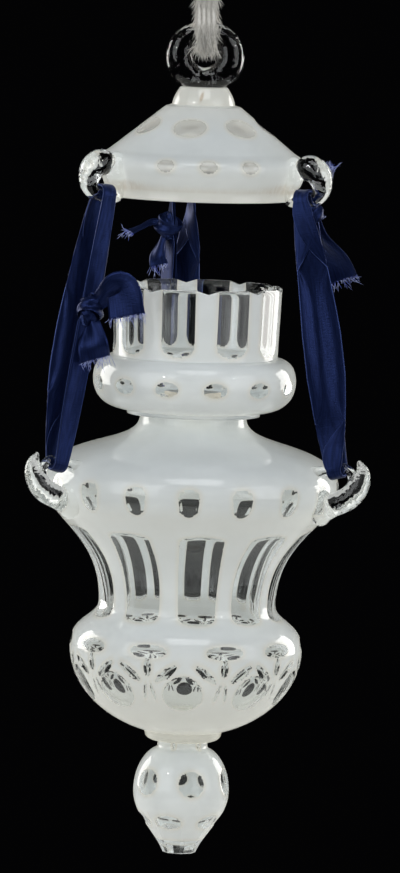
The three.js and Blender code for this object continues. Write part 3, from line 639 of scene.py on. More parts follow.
def canopyOutline(c):
    # each stretch with the spacing of its rows, from the lip up
    top, widest = np.array([c["top"], height["canopyTop"]]), np.array([c["widest"], height["canopyWidest"]])
    coneEnd, coneTop = (top + (widest - top) * c[share] for share in ("coneEnd", "coneTop"))
    lipTop = (c["lip"], height["lip"] + c["lipBand"])
    return [
        (line((c["lip"], height["lip"]), lipTop), 0.0008),
        (bend(lipTop, (0, 0.4), (0, 0.4), widest), 0.0009),
        (bend(widest, (0, 0.52), (0.42, 0.33), coneEnd), 0.0007),
        (line(coneEnd, coneTop), 0.0008),
        (bend(coneTop, (0.5, 0.3), (0.2, 0.3), (c["top"] - c["corner"], height["canopyTop"])), 0.0005),
    ]


def canopyStain(grid):
    # each line and each hook's patch falls off as the bell curve, the patches within two heights
    s = canopyBrownMarks
    turn, z = np.arctan2(grid[..., 1], grid[..., 0]), grid[..., 2]
    lines = sum(much * np.exp(-((z - height["lip"] - above) / reach) ** 2)
                for much, above, reach in s["lines"])
    beside = np.zeros(turn.shape)
    for degrees in hookAzimuths.values():
        away = (turn - math.radians(degrees) + np.pi) % (2 * np.pi) - np.pi
        beside = np.maximum(beside, np.exp(-(away / s["spread"]) ** 2))
    beside = beside * np.clip((z - s["low"]) / s["fade"], 0, 1) * np.clip((s["high"] - z) / s["fade"], 0, 1)
    return np.clip(lines + s["hooks"] * beside, 0, 1)


def makeCanopy(c):
    # a closed top over the outline, and an inner face one wall inside it
    top = height["canopyTop"]
    outer = rowsAlong(canopyOutline(c))
    crown = rowsAlong([(line(outer[-1], (0, top)), 0.003)])[1:]
    inner = moveSideways(outer, c["wall"])[::-c["innerEvery"]]
    inner = inner[(inner[:, 1] > height["lip"] + c["innerFrom"]) & (inner[:, 1] < top - c["wall"])]
    inside = np.vstack([[0, top - c["wall"]], inner, [c["lip"] - c["wall"], height["lip"]]])
    return turnedGlass("canopy_shell", outer, np.vstack([crown, inside]), c["columns"], canopyWindows,
                       stainAndShade=canopyStain, materials=(casing, groundGlass, windowGlass), creamAndShade=c["creamAndShade"])


glassPiece(makeCanopy(canopySet), "bell", "canopy")
print("canopy turned")


# Bowl
bowlSet = {"neck": 0.029, "shoulder": 0.08, "waist": 0.048, "belly": 0.0631, "foot": 0.0217,
           "drain": 0.0065, "wall": 0.003, "neckLip": 0.0015, "columns": 440, "innerEvery": 3,
           # the glass gathers inside where the waist turns out to the belly: heights and added wall
           "gatherTop": -0.354, "gatherMost": -0.3755, "gatherEnd": -0.4255, "added": 0.0034,
           "spared": 0.0007,
           # and a little under the shoulder: height of the thickest place, reach, added wall
           "underShoulder": (-0.3150, 0.0150, 0.0017),
           "eased": 3, "innerFrom": 0.0005,       # rows on each side that the wall is averaged over
           # how cream the casing is at heights; the darker cream on the downward-facing lower belly and under
           # the shoulder is painted shade, partly also the glass's own warmer tone
           "creamAndShade": ((-0.436, 0.85), (-0.412, 0.6), (-0.395, 0.0), (-0.330, 0.1), (-0.314, 0.4),
                    (-0.305, 0.0))}
bowlWindows = [
    # shoulder windows, wider at the top than at the bottom
    {"count": 17, "first": -0.5, "z": -0.3052, "half": (0.0054, 0.0050), "straight": 0.0030, "taper": 0.2,
     "cut": 0.00034, "groove": True},
    # tall flutes round the waist
    {"count": 10, "first": 6.4, "z": -0.3470, "half": (0.0110, 0.0040), "straight": 0.0242, "taper": 0.12,
     "cut": 0.0012, "groove": True, "shifts": [0, -0.5, -2, -4, -5.5, -6.5, -5.5, -4, -2, -0.5]},
    # flowers on the belly: a lying oval, a stem, two leaves and two fine lines below
    *({"count": 10, "first": 18 + aside, "z": z, "half": half, "turn": turn, "cut": cut,
       "shifts": [2.0, -1.6, 0.8, -0.5, 1.2, -0.9, 0.4, 1.0, 0.6, -0.8]} for aside, z, half, turn, cut in (
        (0.0, -0.3865, (0.0106, 0.0037), 0, 0.0007),
        (0.0, -0.3958, (0.0021, 0.0050), 0, 0.0005),
        (9.4, -0.3988, (0.0074, 0.0023), 38, 0.0006),
        (-9.4, -0.3988, (0.0074, 0.0023), -38, 0.0006),
        (2.2, -0.4088, (0.0008, 0.0062), 10, 0.0003),
        (-2.2, -0.4088, (0.0008, 0.0062), -10, 0.0003))),
    # round lenses between the flowers
    {"count": 10, "first": -0.7, "z": -0.4100, "half": (0.0106, 0.0114), "cut": 0.0012,
     "shifts": [0, 3.0, 0.8, -0.6, 0.5, -0.4, 0.9, -0.7, 0, -2.4]},
]


def bowlOutline(b):
    # each stretch with the spacing of its rows, from the drain up
    foot, belly = (b["foot"], height["bowlFoot"]), (b["belly"], height["belly"])
    waist, widest = (b["waist"], height["waist"]), (b["shoulder"], height["shoulder"])
    neck = (b["neck"], height["neckRim"] - b["neckLip"])
    return [
        (line((b["drain"], height["bowlFoot"]), foot), 0.004),
        (bend(foot, (0.59, 0.15), (0, 0.46), belly), 0.00105),
        (bend(belly, (0, 0.62), (0, 0.38), waist), 0.0012),
        (bend(waist, (0, 0.58), (0, 0.32), widest), 0.00125),
        (bend(widest, (0, 0.67), (0, 0.45), neck), 0.0014),
        (line(neck, (b["neck"], height["neckRim"])), 0.0015),
    ]


def bowlWall(z, b):
    # the wall grows with the square of the way down to the thickest place, then eases to a thinner one
    down = np.clip((b["gatherTop"] - z) / (b["gatherTop"] - b["gatherMost"]), 0, 1)
    past = np.clip((b["gatherMost"] - z) / (b["gatherMost"] - b["gatherEnd"]), 0, 1)
    wall = b["wall"] + b["added"] * down**2 - (b["added"] + b["spared"]) * (1 - np.cos(np.pi * past)) / 2
    middle, reach, more = b["underShoulder"]
    wall = wall + more * (1 + np.cos(np.pi * np.clip((z - middle) / reach, -1, 1))) / 2
    rows = 2 * b["eased"] + 1
    return np.convolve(np.pad(wall, b["eased"], "edge"), np.ones(rows) / rows, "valid")


def makeBowl(b):
    # the outline and an inner face one wall inside it, joined at the neck and round the drain
    outer = rowsAlong(bowlOutline(b))
    outline = rowsAlong(bowlOutline(b)[1:-1])
    inner = moveSideways(outline, bowlWall(outline[:, 1], b))[::-b["innerEvery"]]
    floor = height["bowlFoot"] + b["wall"]
    inner = inner[(inner[:, 1] > floor + b["innerFrom"]) & (inner[:, 0] > b["drain"])]
    inside = np.vstack([[b["neck"] - b["wall"], height["neckRim"]], inner, [b["drain"], floor]])
    return turnedGlass("bowl_shell", outer, inside, b["columns"], bowlWindows, creamAndShade=b["creamAndShade"])


glassPiece(makeBowl(bowlSet), "vase", "bowl")
print("bowl turned")


# Crown-shaped cup
cupSet = {"plug": 0.0255, "plugWall": 0.003, "plugDepth": 0.009, "lip": 0.036, "lipHeight": 0.0023,
          "bulge": 0.055, "bulgeLower": 0.0167, "wallFoot": 0.0446, "rim": 0.046, "wall": 0.0028,
          "floor": 0.0036, "innerFrom": 0.0005, "floorRow": 0.012, "notchDepth": 0.0019, "notchHalf": 7.8,
          "columns": 440, "innerEvery": 4,
          # degrees from the front at which the rim dips, a little uneven as the wheel left them
          "notches": (7.9, 45, 80, 115, 149.4, 188.2, 224, 258, 292, 327.4)}


def betweenNotches(notches):
    # the first panel's middle, and how far the others stand from even steps after it
    middles = (np.array(notches) + np.append(notches[1:], notches[0] + 360)) / 2
    return middles[0], (middles - middles[0] - 360 / len(notches) * np.arange(len(notches))).tolist()


firstPanel, panelShifts = betweenNotches(cupSet["notches"])
cupWindows = [
    {"count": 13, "first": -15.5, "z": -0.2462, "half": (0.0064, 0.0041), "cut": 0.0005},
    {"count": len(panelShifts), "first": firstPanel, "z": -0.2020, "half": (0.0092, 0.0060),
     "straight": 0.0216, "cut": 0.00098, "groove": True, "shifts": panelShifts},
]


def cupOutline(c):
    # each stretch with the spacing of its rows, from the plug's foot up to the rim
    under, lipTop = height["cupLip"], height["cupLip"] + c["lipHeight"]
    widest = (c["bulge"], lipTop + c["bulgeLower"])
    wallFoot = (c["wallFoot"], height["crownFoot"])
    return [
        (line((c["plug"], under - c["plugDepth"]), (c["plug"], under)), 0.003),
        (line((c["plug"], under), (c["lip"], under)), 0.003),
        (line((c["lip"], under), (c["lip"], lipTop)), 0.0012),
        (bend((c["lip"], lipTop), (0.63, 0), (0, 0.6), widest), 0.0009),
        (bend(widest, (0, 0.64), (0.6, 0.03), wallFoot), 0.0009),
        (line(wallFoot, (c["rim"], height["crownRim"])), 0.0011),
    ]


def makeCup(c):
    # the outline, then down inside the wall and the bulge, over the floor and out through the plug
    outer = rowsAlong(cupOutline(c))
    curved = rowsAlong(cupOutline(c)[3:5])
    floor, under = height["cupLip"] + c["floor"], height["cupLip"]
    hollow = moveSideways(curved, c["wall"])[::-c["innerEvery"]]
    hollow = hollow[hollow[:, 1] > floor + c["innerFrom"]]
    rim, foot = (c["rim"] - c["wall"], height["crownRim"]), (c["wallFoot"] - c["wall"], height["crownFoot"])
    core = c["plug"] - c["plugWall"]
    inner = np.vstack([rowsAlong([(line(rim, foot), 0.004)]), hollow[1:], [c["lip"], floor],
                       [c["floorRow"], floor], [0, floor], [0, under], [core, under],
                       [core, under - c["plugDepth"]]])

    def scallops(r, z, turn):
        # the wall's upper part is stretched to a rim that dips to a point between panels
        away = (np.degrees(turn)[..., None] - frontAzimuth - np.array(c["notches"]) + 180) % 360 - 180
        notch = np.clip(1 - np.abs(away).min(axis=-1) / c["notchHalf"], 0, 1)
        share = np.clip((z - height["crownFoot"]) / (height["crownRim"] - height["crownFoot"]), 0, 1)
        return r, z - c["notchDepth"] * notch * share**3

    return turnedGlass("crown_cup_shell", outer, inner, c["columns"], cupWindows, shape=scallops)


glassPiece(makeCup(cupSet), "cup", "crown_cup")
print("crown cup turned")


# Knop, foot ring and drop. What is fused runs a little into its neighbour
knopSet = {"foot": 0.017, "neck": 0.0125, "flare": 0.0012, "flareFall": 0.001, "crownIn": 0.0006,
           "fused": 0.0004, "columns": 240, "creamAndShade": ((0, 0.75),)}
# painted shade where a small nick in the knop's front would be dark
knopNick = {"turn": -4, "z": -0.0908, "half": (0.0007, 0.0021), "lean": 0.25, "dark": 4.0}
footRingSet = {"drain": 0.0065, "edge": 0.0208, "edgeFall": 0.0014, "out": 0.0006, "stem": 0.0134,
               "fusedAbove": 0.0004, "fusedBelow": 0.0002, "columns": 180, "creamAndShade": ((0, 0.8),)}
dropSet = {"drain": 0.0065, "stem": 0.0136, "widest": 0.026, "tip": 0.0089, "tipThick": 0.009, "wall": 0.003,
           "collar": (0.0016, 0.0012), "collarTop": 0.0009, "innerFrom": 0.0005, "floorRow": 0.004,
           "facets": 8, "facetsFrom": -0.480, "facetsGrow": 0.010, "columns": 240,
           "innerEvery": 3}
dropWindows = [
    {"count": 6, "first": 13, "z": -0.4625, "half": (0.0071, 0.0071), "cut": 0.0009},
    {"count": 6, "first": 41.5, "z": -0.4845, "half": (0.0074, 0.0044), "cut": 0.0012,
     "shifts": [8, 0, 3, -2, 2, 0]},
    {"count": 6, "first": -20, "z": -0.4434, "half": (0.0010, 0.0021), "cut": 0.0003},
    # the clear end of the tip
    {"count": 1, "first": 0, "z": -0.50285, "r": 0.0089, "half": (1.0, 0.0085), "cut": 0.0},
]


def paintedNickShade(grid):
    # painted shade of a small nick in the knop's front, which is not cut into the glass: a dark ellipse that
    # leans a little
    turn = np.arctan2(grid[..., 1], grid[..., 0]) - math.radians(frontAzimuth + knopNick["turn"])
    z = grid[..., 2] - knopNick["z"]
    x = np.hypot(grid[..., 0], grid[..., 1]) * np.sin(turn) - knopNick["lean"] * z
    wide, tall = knopNick["half"]
    return knopNick["dark"] * np.exp(-((x / wide) ** 2 + (z / tall) ** 2)) * (np.cos(turn) > 0)


def makeKnop(c):
    # a short cone with a rounded foot and a narrow crown
    bottom, top = height["canopyTop"] - c["fused"], height["knopTop"] + c["crownIn"]
    shoulder = (c["neck"] + c["flare"], height["knopTop"] - c["flareFall"])
    crown = (c["neck"] - c["crownIn"], top)
    outer = rowsAlong([
        (line((0, bottom), (c["foot"], bottom)), 0.003),
        (bend((c["foot"], bottom), (0.05, 0.4), (0.4, 0.25), shoulder), 0.0006),
        (bend(shoulder, (0.2, 0.5), (0.5, 0.0), crown), 0.0004),
        (line(crown, (0, top)), 0.003),
    ])
    return turnedGlass("knop_glass", outer, outer[:0], c["columns"], [], stainAndShade=paintedNickShade, creamAndShade=c["creamAndShade"])


def makeFootRing(c):
    # a disc with a round underside, hollow at the drain
    top, bottom = height["bowlFoot"] + c["fusedAbove"], height["stemTop"] - c["fusedBelow"]
    edge, rim = (c["edge"], height["mereseTop"] - c["edgeFall"]), (c["edge"] + c["out"], top)
    outer = rowsAlong([
        (line((c["drain"], bottom), (c["stem"], bottom)), 0.002),
        (bend((c["stem"], bottom), (0.62, 0.10), (0.04, 0.62), edge), 0.0005),
        (bend(edge, (0.1, 0.3), (0.0, 0.5), rim), 0.0005),
        (line(rim, (c["drain"], top)), 0.002),
    ])
    return turnedGlass("foot_ring_glass", outer, outer[:0], c["columns"], [], creamAndShade=c["creamAndShade"])


def makeDrop(c):
    # a hollow drop on a stem: its thick tip is solid and cut in facets
    tip, widest = (c["tip"], height["tip"]), (c["widest"], height["dropWidest"])
    collar = (c["stem"] + c["collar"][0], height["stemFoot"] - c["collar"][1])
    collarTop = (c["stem"], height["stemFoot"] + c["collarTop"])
    outline = [
        (bend(tip, (0.27, 0.33), (0, 0.41), widest), 0.0008),
        (bend(widest, (0, 0.62), (0.30, 0.06), collar), 0.0008),
        (bend(collar, (0.6, 0.2), (0, 0.6), collarTop), 0.0005),
    ]
    end = (line((0, height["tip"]), tip), 0.0015)
    stem = (line(collarTop, (c["stem"], height["stemTop"])), 0.001)
    outer = rowsAlong([end, *outline, stem])
    hollow = moveSideways(rowsAlong(outline[:2]), c["wall"])[::-c["innerEvery"]]
    floor = height["tip"] + c["tipThick"]
    hollow = hollow[(hollow[:, 0] > c["drain"]) & (hollow[:, 1] > floor + c["innerFrom"])]
    inner = np.vstack([[c["drain"], height["stemTop"]], [c["drain"], height["stemFoot"]], hollow,
                       [c["floorRow"], floor], [0, floor]])

    def facetTip(r, z, turn):
        # flat faces near the tip: the radius shrinks between the corners of a regular polygon
        share = np.clip((c["facetsFrom"] - z) / c["facetsGrow"], 0, 1)
        corner = (turn % (2 * np.pi / c["facets"])) - np.pi / c["facets"]
        flat = math.cos(np.pi / c["facets"]) / np.cos(corner)
        return r * (1 + share * (flat - 1)), z

    return turnedGlass("drop_shell", outer, inner, c["columns"], dropWindows, shape=facetTip)


glassPiece(makeKnop(knopSet), "bell", "ring_knop")
glassPiece(makeFootRing(footRingSet), "vase", "foot_merese")
glassPiece(makeDrop(dropSet), "vase", "drop_finial")
print("knop, foot ring and drop turned")


# Ring of clear glass round the string
ringSet = {"hole": 0.00675, "around": 128, "section": 48, "eased": 6,
           "wobble": (0.015, 0.01), "waves": (3, 2),        # along the rod and round its section
           # thickness of the rod at angles from the top, in degrees: squarer and fuller below
           "thickness": [(0, 0.0108), (45, 0.0130), (90, 0.0145), (131, 0.0148), (155, 0.0130),
                         (180, 0.0112)]}


def makeRing(c):
    # a rod bent round the hole, thicker at the sides, with two slow waves over its face
    turn = np.linspace(0, 2 * np.pi, c["around"], endpoint=False)[:, None]
    section = np.linspace(0, 2 * np.pi, c["section"], endpoint=False)[None, :]
    fromTop = np.degrees(np.abs((turn + np.pi) % (2 * np.pi) - np.pi))
    rod = np.interp(fromTop, *np.array(c["thickness"]).T) / 2
    rod = sum(np.roll(rod, k, axis=0) for k in range(-c["eased"], c["eased"] + 1)) / (2 * c["eased"] + 1)
    waves = np.sin(c["waves"][0] * turn + 1), np.sin(c["waves"][1] * section + turn)
    wobble = 1 + c["wobble"][0] * waves[0] + c["wobble"][1] * waves[1]
    away = c["hole"] + rod - rod * np.cos(section) * wobble
    x, z = away * np.sin(turn), height["hole"] + away * np.cos(turn)
    piece = bareMesh("ring_glass", np.stack([x, rod * wobble * np.sin(section), z], axis=-1),
                     gridFaces(c["around"], c["section"], wrapRows=True))
    piece.data.materials.append(hookGlass)
    tidyMesh(piece)
    return piece


glassPiece(makeRing(ringSet), "bell", "hanging_ring")
print("ring made")


# Hooks of drawn glass: (outward, height) places in millimetres with the rod's thickness at each
hookSet = {"fused": 0.0008, "voxel": 0.00055, "softened": (0.5, 14), "sides": 20, "ball": (24, 36),
           "steps": 10}
canopyHook = {
    "rods": [([(52.6, -131.75), (53.6, -143.65), (59.59, -144.75), (64.9, -144.1), (69.7, -142.6),
               (72.4, -136.6), (70.4, -130.0), (65.2, -126.5), (60.4, -128.2)],
              [4.2, 3.6, 3.4, 3.4, 3.9, 5.5, 6.9, 7.2, 6.2])],
    "gather": ((54.9, -130.25), (5.4, 8.2, 9.6)),
}
bowlHook = {
    "rods": [([(72, -290.45), (82.17, -288.08), (91.83, -286.42), (96.5, -291.25), (96.1, -301.25)],
              [3.4, 2.6, 2.6, 2.6, 3.2]),
             ([(75, -315.25), (84, -307.85), (94.6, -302.3), (100.4, -295.2), (102.2, -288.2),
               (99.7, -281.75)],
              [5.0, 6.2, 6.4, 5.8, 4.0, 1.0])],
    "gather": ((78.8, -308.75), (5.6, 8.4, 10)),
}


def outerRadius(outline, z):
    # how far out the shell's outer face is at each height
    rows = rowsAlong(outline)
    order = np.argsort(rows[:, 1])
    return np.interp(z, rows[order, 1], rows[order, 0], left=0)


def makeHook(name, hook, outline, c):
    # rods and the gather are grown together, smoothed, and cut back where they are fused to the shell
    pieces = []
    for places, thick in hook["rods"]:
        rod = smoothPath(np.column_stack([np.array(places), thick]) / 1000, c["steps"])
        path = np.stack([rod[:, 0], 0 * rod[:, 0], rod[:, 1]], axis=1)
        pieces.append(roundTube(name, path, np.array([0, 1.0, 0]), rod[:, 2], c["sides"]))
    (out, z), half = hook["gather"]
    ball = np.stack(ballGrid(*c["ball"])[2], axis=-1)
    pieces.append(bareMesh(name, ball * np.array(half) / 1000 + np.array([out, 0, z]) / 1000,
                           gridFaces(*c["ball"])))
    hookPiece = joinInto(pieces[0], pieces[1:])
    tidyMesh(hookPiece)
    grown = hookPiece.modifiers.new("grown", "REMESH")
    grown.mode = "VOXEL"
    grown.voxel_size = c["voxel"]
    softened = hookPiece.modifiers.new("softened", "SMOOTH")
    softened.factor, softened.iterations = c["softened"]
    workIn(hookPiece)
    places = np.zeros(len(hookPiece.data.vertices) * 3)
    hookPiece.data.vertices.foreach_get("co", places)
    places = places.reshape(-1, 3)
    radius = np.hypot(places[:, 0], places[:, 1])
    least = np.where(radius > 0, outerRadius(outline, places[:, 2]) - c["fused"], 0)
    places[:, :2] *= (np.maximum(radius, least) / radius)[:, None]
    return hookPiece, places


def placeHooks(kind, body, hook, outline, c):
    # the same hook turned about Z to each of the three azimuths
    first, places = makeHook(kind, hook, outline, c)
    for side, degrees in hookAzimuths.items():
        turn = math.radians(degrees)
        spin = np.array([[math.cos(turn), math.sin(turn), 0], [-math.sin(turn), math.cos(turn), 0],
                         [0, 0, 1]])
        mesh = first.data.copy()
        mesh.vertices.foreach_set("co", (places @ spin).astype(np.float32).ravel())
        mesh.materials.clear()
        mesh.materials.append(hookGlass)
        piece = linked(f"{kind}_{side}_glass", mesh)
        tidyMesh(piece)
        glassPiece(piece, body, f"{kind}_{side}")
    bpy.data.objects.remove(first)


placeHooks("canopy_hook", "bell", canopyHook, canopyOutline(canopySet), hookSet)
placeHooks("bowl_hook", "vase", bowlHook, bowlOutline(bowlSet), hookSet)
print("hooks drawn")


# Ribbons: satin loops from hook to hook, gathered at both bends, each knotted on one run
ribbonSet = {"out": 0.0625, "height": height["hookRod"], "lean": math.atan2(24.5, 143),
             "run": 0.14508,
             "topBend": 0.0048, "bottomBend": 0.0040, "width": 0.021, "thick": 0.0003, "columns": 33,
             "runSteps": 190, "bendSteps": 22,
             # width where the loop is bunched at its bends, and how far down each run it opens and closes
             "bunched": 0.0078, "spread": (0.072, 0.050), "opening": 0.6,
             # width under the knot, and how far from it the run is pinched
             "pinched": 0.0075, "pinchReach": 0.022,
             # folds: where the width is less than two shares of the full width, and how they rise
             "foldFrom": 0.92, "foldOver": 0.42, "foldRise": 0.0007,
             # pleats across where it is gathered, which sway along it, and soft waves where it lies open,
             # as (share, waves across, waves along, its own turn)
             "pleats": 2.5, "pleatSway": (1.3, 38), "pleatDepth": 0.0009, "gathered": 0.5, "open": 1.3,
             "softWaves": ((1, 2.2, 21, 1), (0.6, 4.6, -13, 2))}
# the knot's core, the wrap round it, its loose ends, and the threads that fray out of them
knotSet = {"rows": 40, "columns": 72, "crease": 0.17, "dents": 0.06, "uv": (0.003, 0.006),
           # creases: waves round and down the core, and how they sway; dents: waves down and round it
           "creaseWaves": (2.5, 3, 1.2, 2), "dentWaves": (5, 2),
           "wrapSteps": 64, "wrapColumns": 13, "wrapTilt": 0.35, "wrapTurn": 0.8, "wrapHalf": 0.0042,
           "wrapPleat": 0.0007, "wrapWaves": (4, 2), "wrapRise": 0.0003, "wrapUv": 0.004,
           # an end's width opens within the first part of its way, and its pleats fade towards its tip
           "endSteps": 44, "endSmooth": 12, "endNarrow": 0.42, "endFlare": 0.68, "endOpens": 1.3,
           "endPleat": 0.0012, "endPleatFrom": 1.1, "endWaves": (3.3, 3), "endSway": (40, 2.2),
           "viewRise": 0.09,       # the ends lie flat to a view from the front and a little above
           "frays": 70, "frayAside": 0.45, "frayLong": (0.0015, 0.0062), "frayThick": 0.00011,
           "frayCurl": 0.6, "frayGrid": (7, 4)}
ribbons = {
    # bow, turn and width of the two runs in the middle; the knot's share of the way down, its
    # half sizes and how proud it sits, in ribbon widths; and its loose ends as (width, places, turn)
    "left": {"bow": (0.0018, -0.0006), "turn": (16, -10), "widest": (0.0185, 0.0105),
             "knot": 0.427, "size": (0.31, 0.30, 0.43), "proud": 0.21,
             "ends": [(0.88, [(-0.14, 0.43, -0.38), (-0.33, 0.90, -0.62), (-0.43, 1.05, 0.10)], -18),
                      (0.72, [(0.05, 0.19, 0.48), (0.10, 0.33, 0.90), (0.0, 0.29, 1.24)], -15)]},
    "right": {"bow": (0.0024, -0.0004), "turn": (-27, 10), "widest": (0.0210, 0.0095),
              "knot": 0.055, "size": (0.26, 0.24, 0.29), "proud": 0.22,
              "ends": [(0.42, [(0.14, 0.14, -0.38), (0.29, 0.24, -0.81), (0.33, 0.29, -1.19)], 30),
                       (0.86, [(0.10, 0.29, 0.57), (0.29, 0.67, 1.14), (0.43, 0.90, 1.71)], 10)]},
    "back": {"bow": (0.0010, 0.0008), "turn": (-48, 30), "widest": (0.0200, 0.0125),
             "knot": 0.152, "size": (0.27, 0.27, 0.38), "proud": 0.22,
             "ends": [(0.50, [(0.10, 0.38, -0.10), (0.19, 0.71, 0.05), (0.14, 1.00, 0.19)], 35),
                      (0.46, [(0.14, 0.14, 0.48), (0.14, 0.24, 0.81), (0.14, 0.19, 1.05)], 20)]},
}


def band(name, centre, closed, thick, across, along, half):
    # a thin closed shell about a surface, over its face and back under it: half its thickness to each
    # side along the surface's own normal. Its UV is the place across, out to the half width, and along
    if closed:
        ahead = np.roll(centre, -1, axis=0) - np.roll(centre, 1, axis=0)
    else:
        ahead = np.gradient(centre, axis=0)
    normal = unit(np.cross(np.gradient(centre, axis=1), ahead))
    rise = np.broadcast_to(thick, len(centre))[:, None, None] / 2 * normal
    grid = np.concatenate([centre + rise, (centre - rise)[:, ::-1]], axis=1)
    piece = bareMesh(name, grid, gridFaces(*grid.shape[:2], wrapRows=closed))
    bothFaces = np.concatenate([across, across[::-1]])
    setUv(piece, np.broadcast_to(bothFaces * half, grid.shape[:2]), np.broadcast_to(along, grid.shape[:2]))
    return piece


def layAcross(path, wide, normal, reach, lift):
    # a surface from a path: each row goes sideways by the reach and up by the lift
    return path[:, None] + wide[:, None] * reach[..., None] + normal[:, None] * lift[..., None]


def loopStations(c):
    # up and sideways places round the loop, with how far down the run each is and which run it is on
    turn = np.linspace(0, np.pi, c["bendSteps"], endpoint=False)
    share = np.linspace(0, 1, c["runSteps"], endpoint=False)
    top = np.stack([c["topBend"] * np.sin(turn), c["topBend"] * np.cos(turn)], axis=1)
    narrow = c["topBend"] + (c["bottomBend"] - c["topBend"]) * share
    front = np.stack([-c["run"] * share, -narrow], axis=1)
    low = np.stack([-c["run"] - c["bottomBend"] * np.sin(turn), -c["bottomBend"] * np.cos(turn)], axis=1)
    rear = (front * [1, -1])[::-1] - [c["run"] / c["runSteps"], 0]
    down = np.concatenate([0 * turn, share, 0 * turn + 1, share[::-1] + 1 / c["runSteps"]])
    onRun = np.repeat([-1, 0, -1, 1], [len(turn), len(share), len(turn), len(share)])
    return np.vstack([top, front, low, rear]), down, onRun


def ribbonFrame(degrees, c):
    # the loop's own outward, sideways and up directions, leaning out towards the bowl
    turn = math.radians(degrees)
    lean = c["lean"]
    outward = np.array([math.cos(turn), math.sin(turn), 0])
    beside = np.array([-math.sin(turn), math.cos(turn), 0])
    rising = -math.sin(lean) * outward + math.cos(lean) * np.array([0, 0, 1.0])
    square = math.cos(lean) * outward + math.sin(lean) * np.array([0, 0, 1.0])
    return outward * c["out"] + np.array([0, 0, c["height"]]), square, beside, rising, outward


def loopWidth(down, onRun, r, c):
    # bunched at the bends, open in the middle of each run, and pinched under the knot
    opened = np.minimum(down * c["run"] / c["spread"][0], (1 - down) * c["run"] / c["spread"][1])
    widest = np.select([onRun == 0, onRun == 1], r["widest"], c["bunched"])
    width = c["bunched"] + (widest - c["bunched"]) * np.clip(opened, 0, 1) ** c["opening"]
    pinch = np.where(onRun == 1, np.abs(down - r["knot"]) * c["run"] / c["pinchReach"], 1)
    return np.minimum(width, c["pinched"] + (c["width"] - c["pinched"]) * ease(pinch))


def makeLoop(name, degrees, r, c):
    # a strap carried round the loop's path and turned about it on each run. Where it is narrower than
    # the ribbon, what is too much lies in pleats and folds
    origin, square, beside, rising, _ = ribbonFrame(degrees, c)
    flat, down, onRun = loopStations(c)
    middle = np.sin(np.pi * np.clip(down, 0, 1))
    bow = np.select([onRun == 0, onRun == 1], r["bow"], 0) * middle
    path = origin + flat[:, :1] * rising + flat[:, 1:] * beside + bow[:, None] * square
    ahead = unit(np.roll(path, -1, axis=0) - np.roll(path, 1, axis=0))
    turn = np.radians(np.select([onRun == 0, onRun == 1], r["turn"], 0))
    turn = turn * ease(4 * np.minimum(down, 1 - down))
    wide = np.cos(turn)[:, None] * square + np.sin(turn)[:, None] * np.cross(ahead, square)
    normal = np.cross(ahead, wide)
    width = loopWidth(down, onRun, r, c)[:, None]
    across = np.linspace(-1, 1, c["columns"])
    walked = pathLengths(path)[:, None]
    gathered = np.clip(1 - width / c["width"], 0, 1)
    folded = ease((c["foldFrom"] * c["width"] - width) / (c["foldOver"] * c["width"]))
    laid = (1 - folded) * across + folded * np.sin(1.5 * np.pi * across)
    laid = laid / np.abs(laid).max(axis=1, keepdims=True)
    sway, swayAlong = c["pleatSway"]
    pleat = np.cos(c["pleats"] * np.pi * across + sway * np.sin(walked * swayAlong + degrees))
    soft = sum(much * np.sin(crosswise * across + walked * lengthwise + turns * degrees)
               for much, crosswise, lengthwise, turns in c["softWaves"])
    waves = c["gathered"] * gathered * pleat + c["open"] * (1 - gathered) * soft * middle[:, None]
    lift = c["pleatDepth"] * waves + c["foldRise"] * folded * (across + 1)
    centre = layAcross(path, wide, normal, width / 2 * laid, lift)
    piece = band(name, centre, True, c["thick"], across, walked, c["width"] / 2)
    tidyMesh(piece)
    return piece, float(walked[-1, 0])


threadSide = np.array([0.3, 0.8, 0.52])        # a thread's section is set square to this direction


def threadTubes(name, starts, aims, lengths, radius, curl, steps, sides):
    # thin threads that set off along their aims and each bend their own way, with the square of the
    # way along
    t = np.linspace(0, 1, steps)[None, :, None]
    aside = unit(rng.normal(size=starts.shape))[:, None]
    path = starts[:, None] + (aims[:, None] * t + aside * curl * t**2) * lengths[:, None, None]
    ahead = unit(np.gradient(path, axis=1))
    side = unit(np.cross(ahead, threadSide))
    top = np.cross(ahead, side)
    turn = np.linspace(0, 2 * np.pi, sides, endpoint=False)[:, None]
    thick = radius * np.r_[0, np.ones(steps - 2), 0][None, :, None, None]
    section = side[:, :, None] * np.cos(turn) + top[:, :, None] * np.sin(turn)
    one = gridFaces(steps, sides)
    faces = (one[None] + (np.arange(len(starts)) * steps * sides)[:, None, None]).reshape(-1, 4)
    return bareMesh(name, path[:, :, None] + thick * section, faces)


def makeLump(name, middle, size, axes, degrees, k):
    # the knot's core: a ball with its own half sizes, creased along slanting lines
    polar, turn, ball = ballGrid(k["rows"], k["columns"])
    around, down, sway, swayDown = k["creaseWaves"]
    slant = around * turn + down * polar + sway * np.sin(swayDown * polar + degrees)
    crease = 1 - k["crease"] * np.abs(np.sin(slant))
    crease = crease + k["dents"] * np.sin(k["dentWaves"][0] * polar + k["dentWaves"][1] * turn)
    grid = middle + sum((crease * b * half)[..., None] * d for b, half, d in zip(ball, size, axes))
    lump = bareMesh(name, grid, gridFaces(k["rows"], k["columns"]))
    setUv(lump, (turn + 0 * polar) * k["uv"][0], (polar + 0 * turn) * k["uv"][1])
    return lump


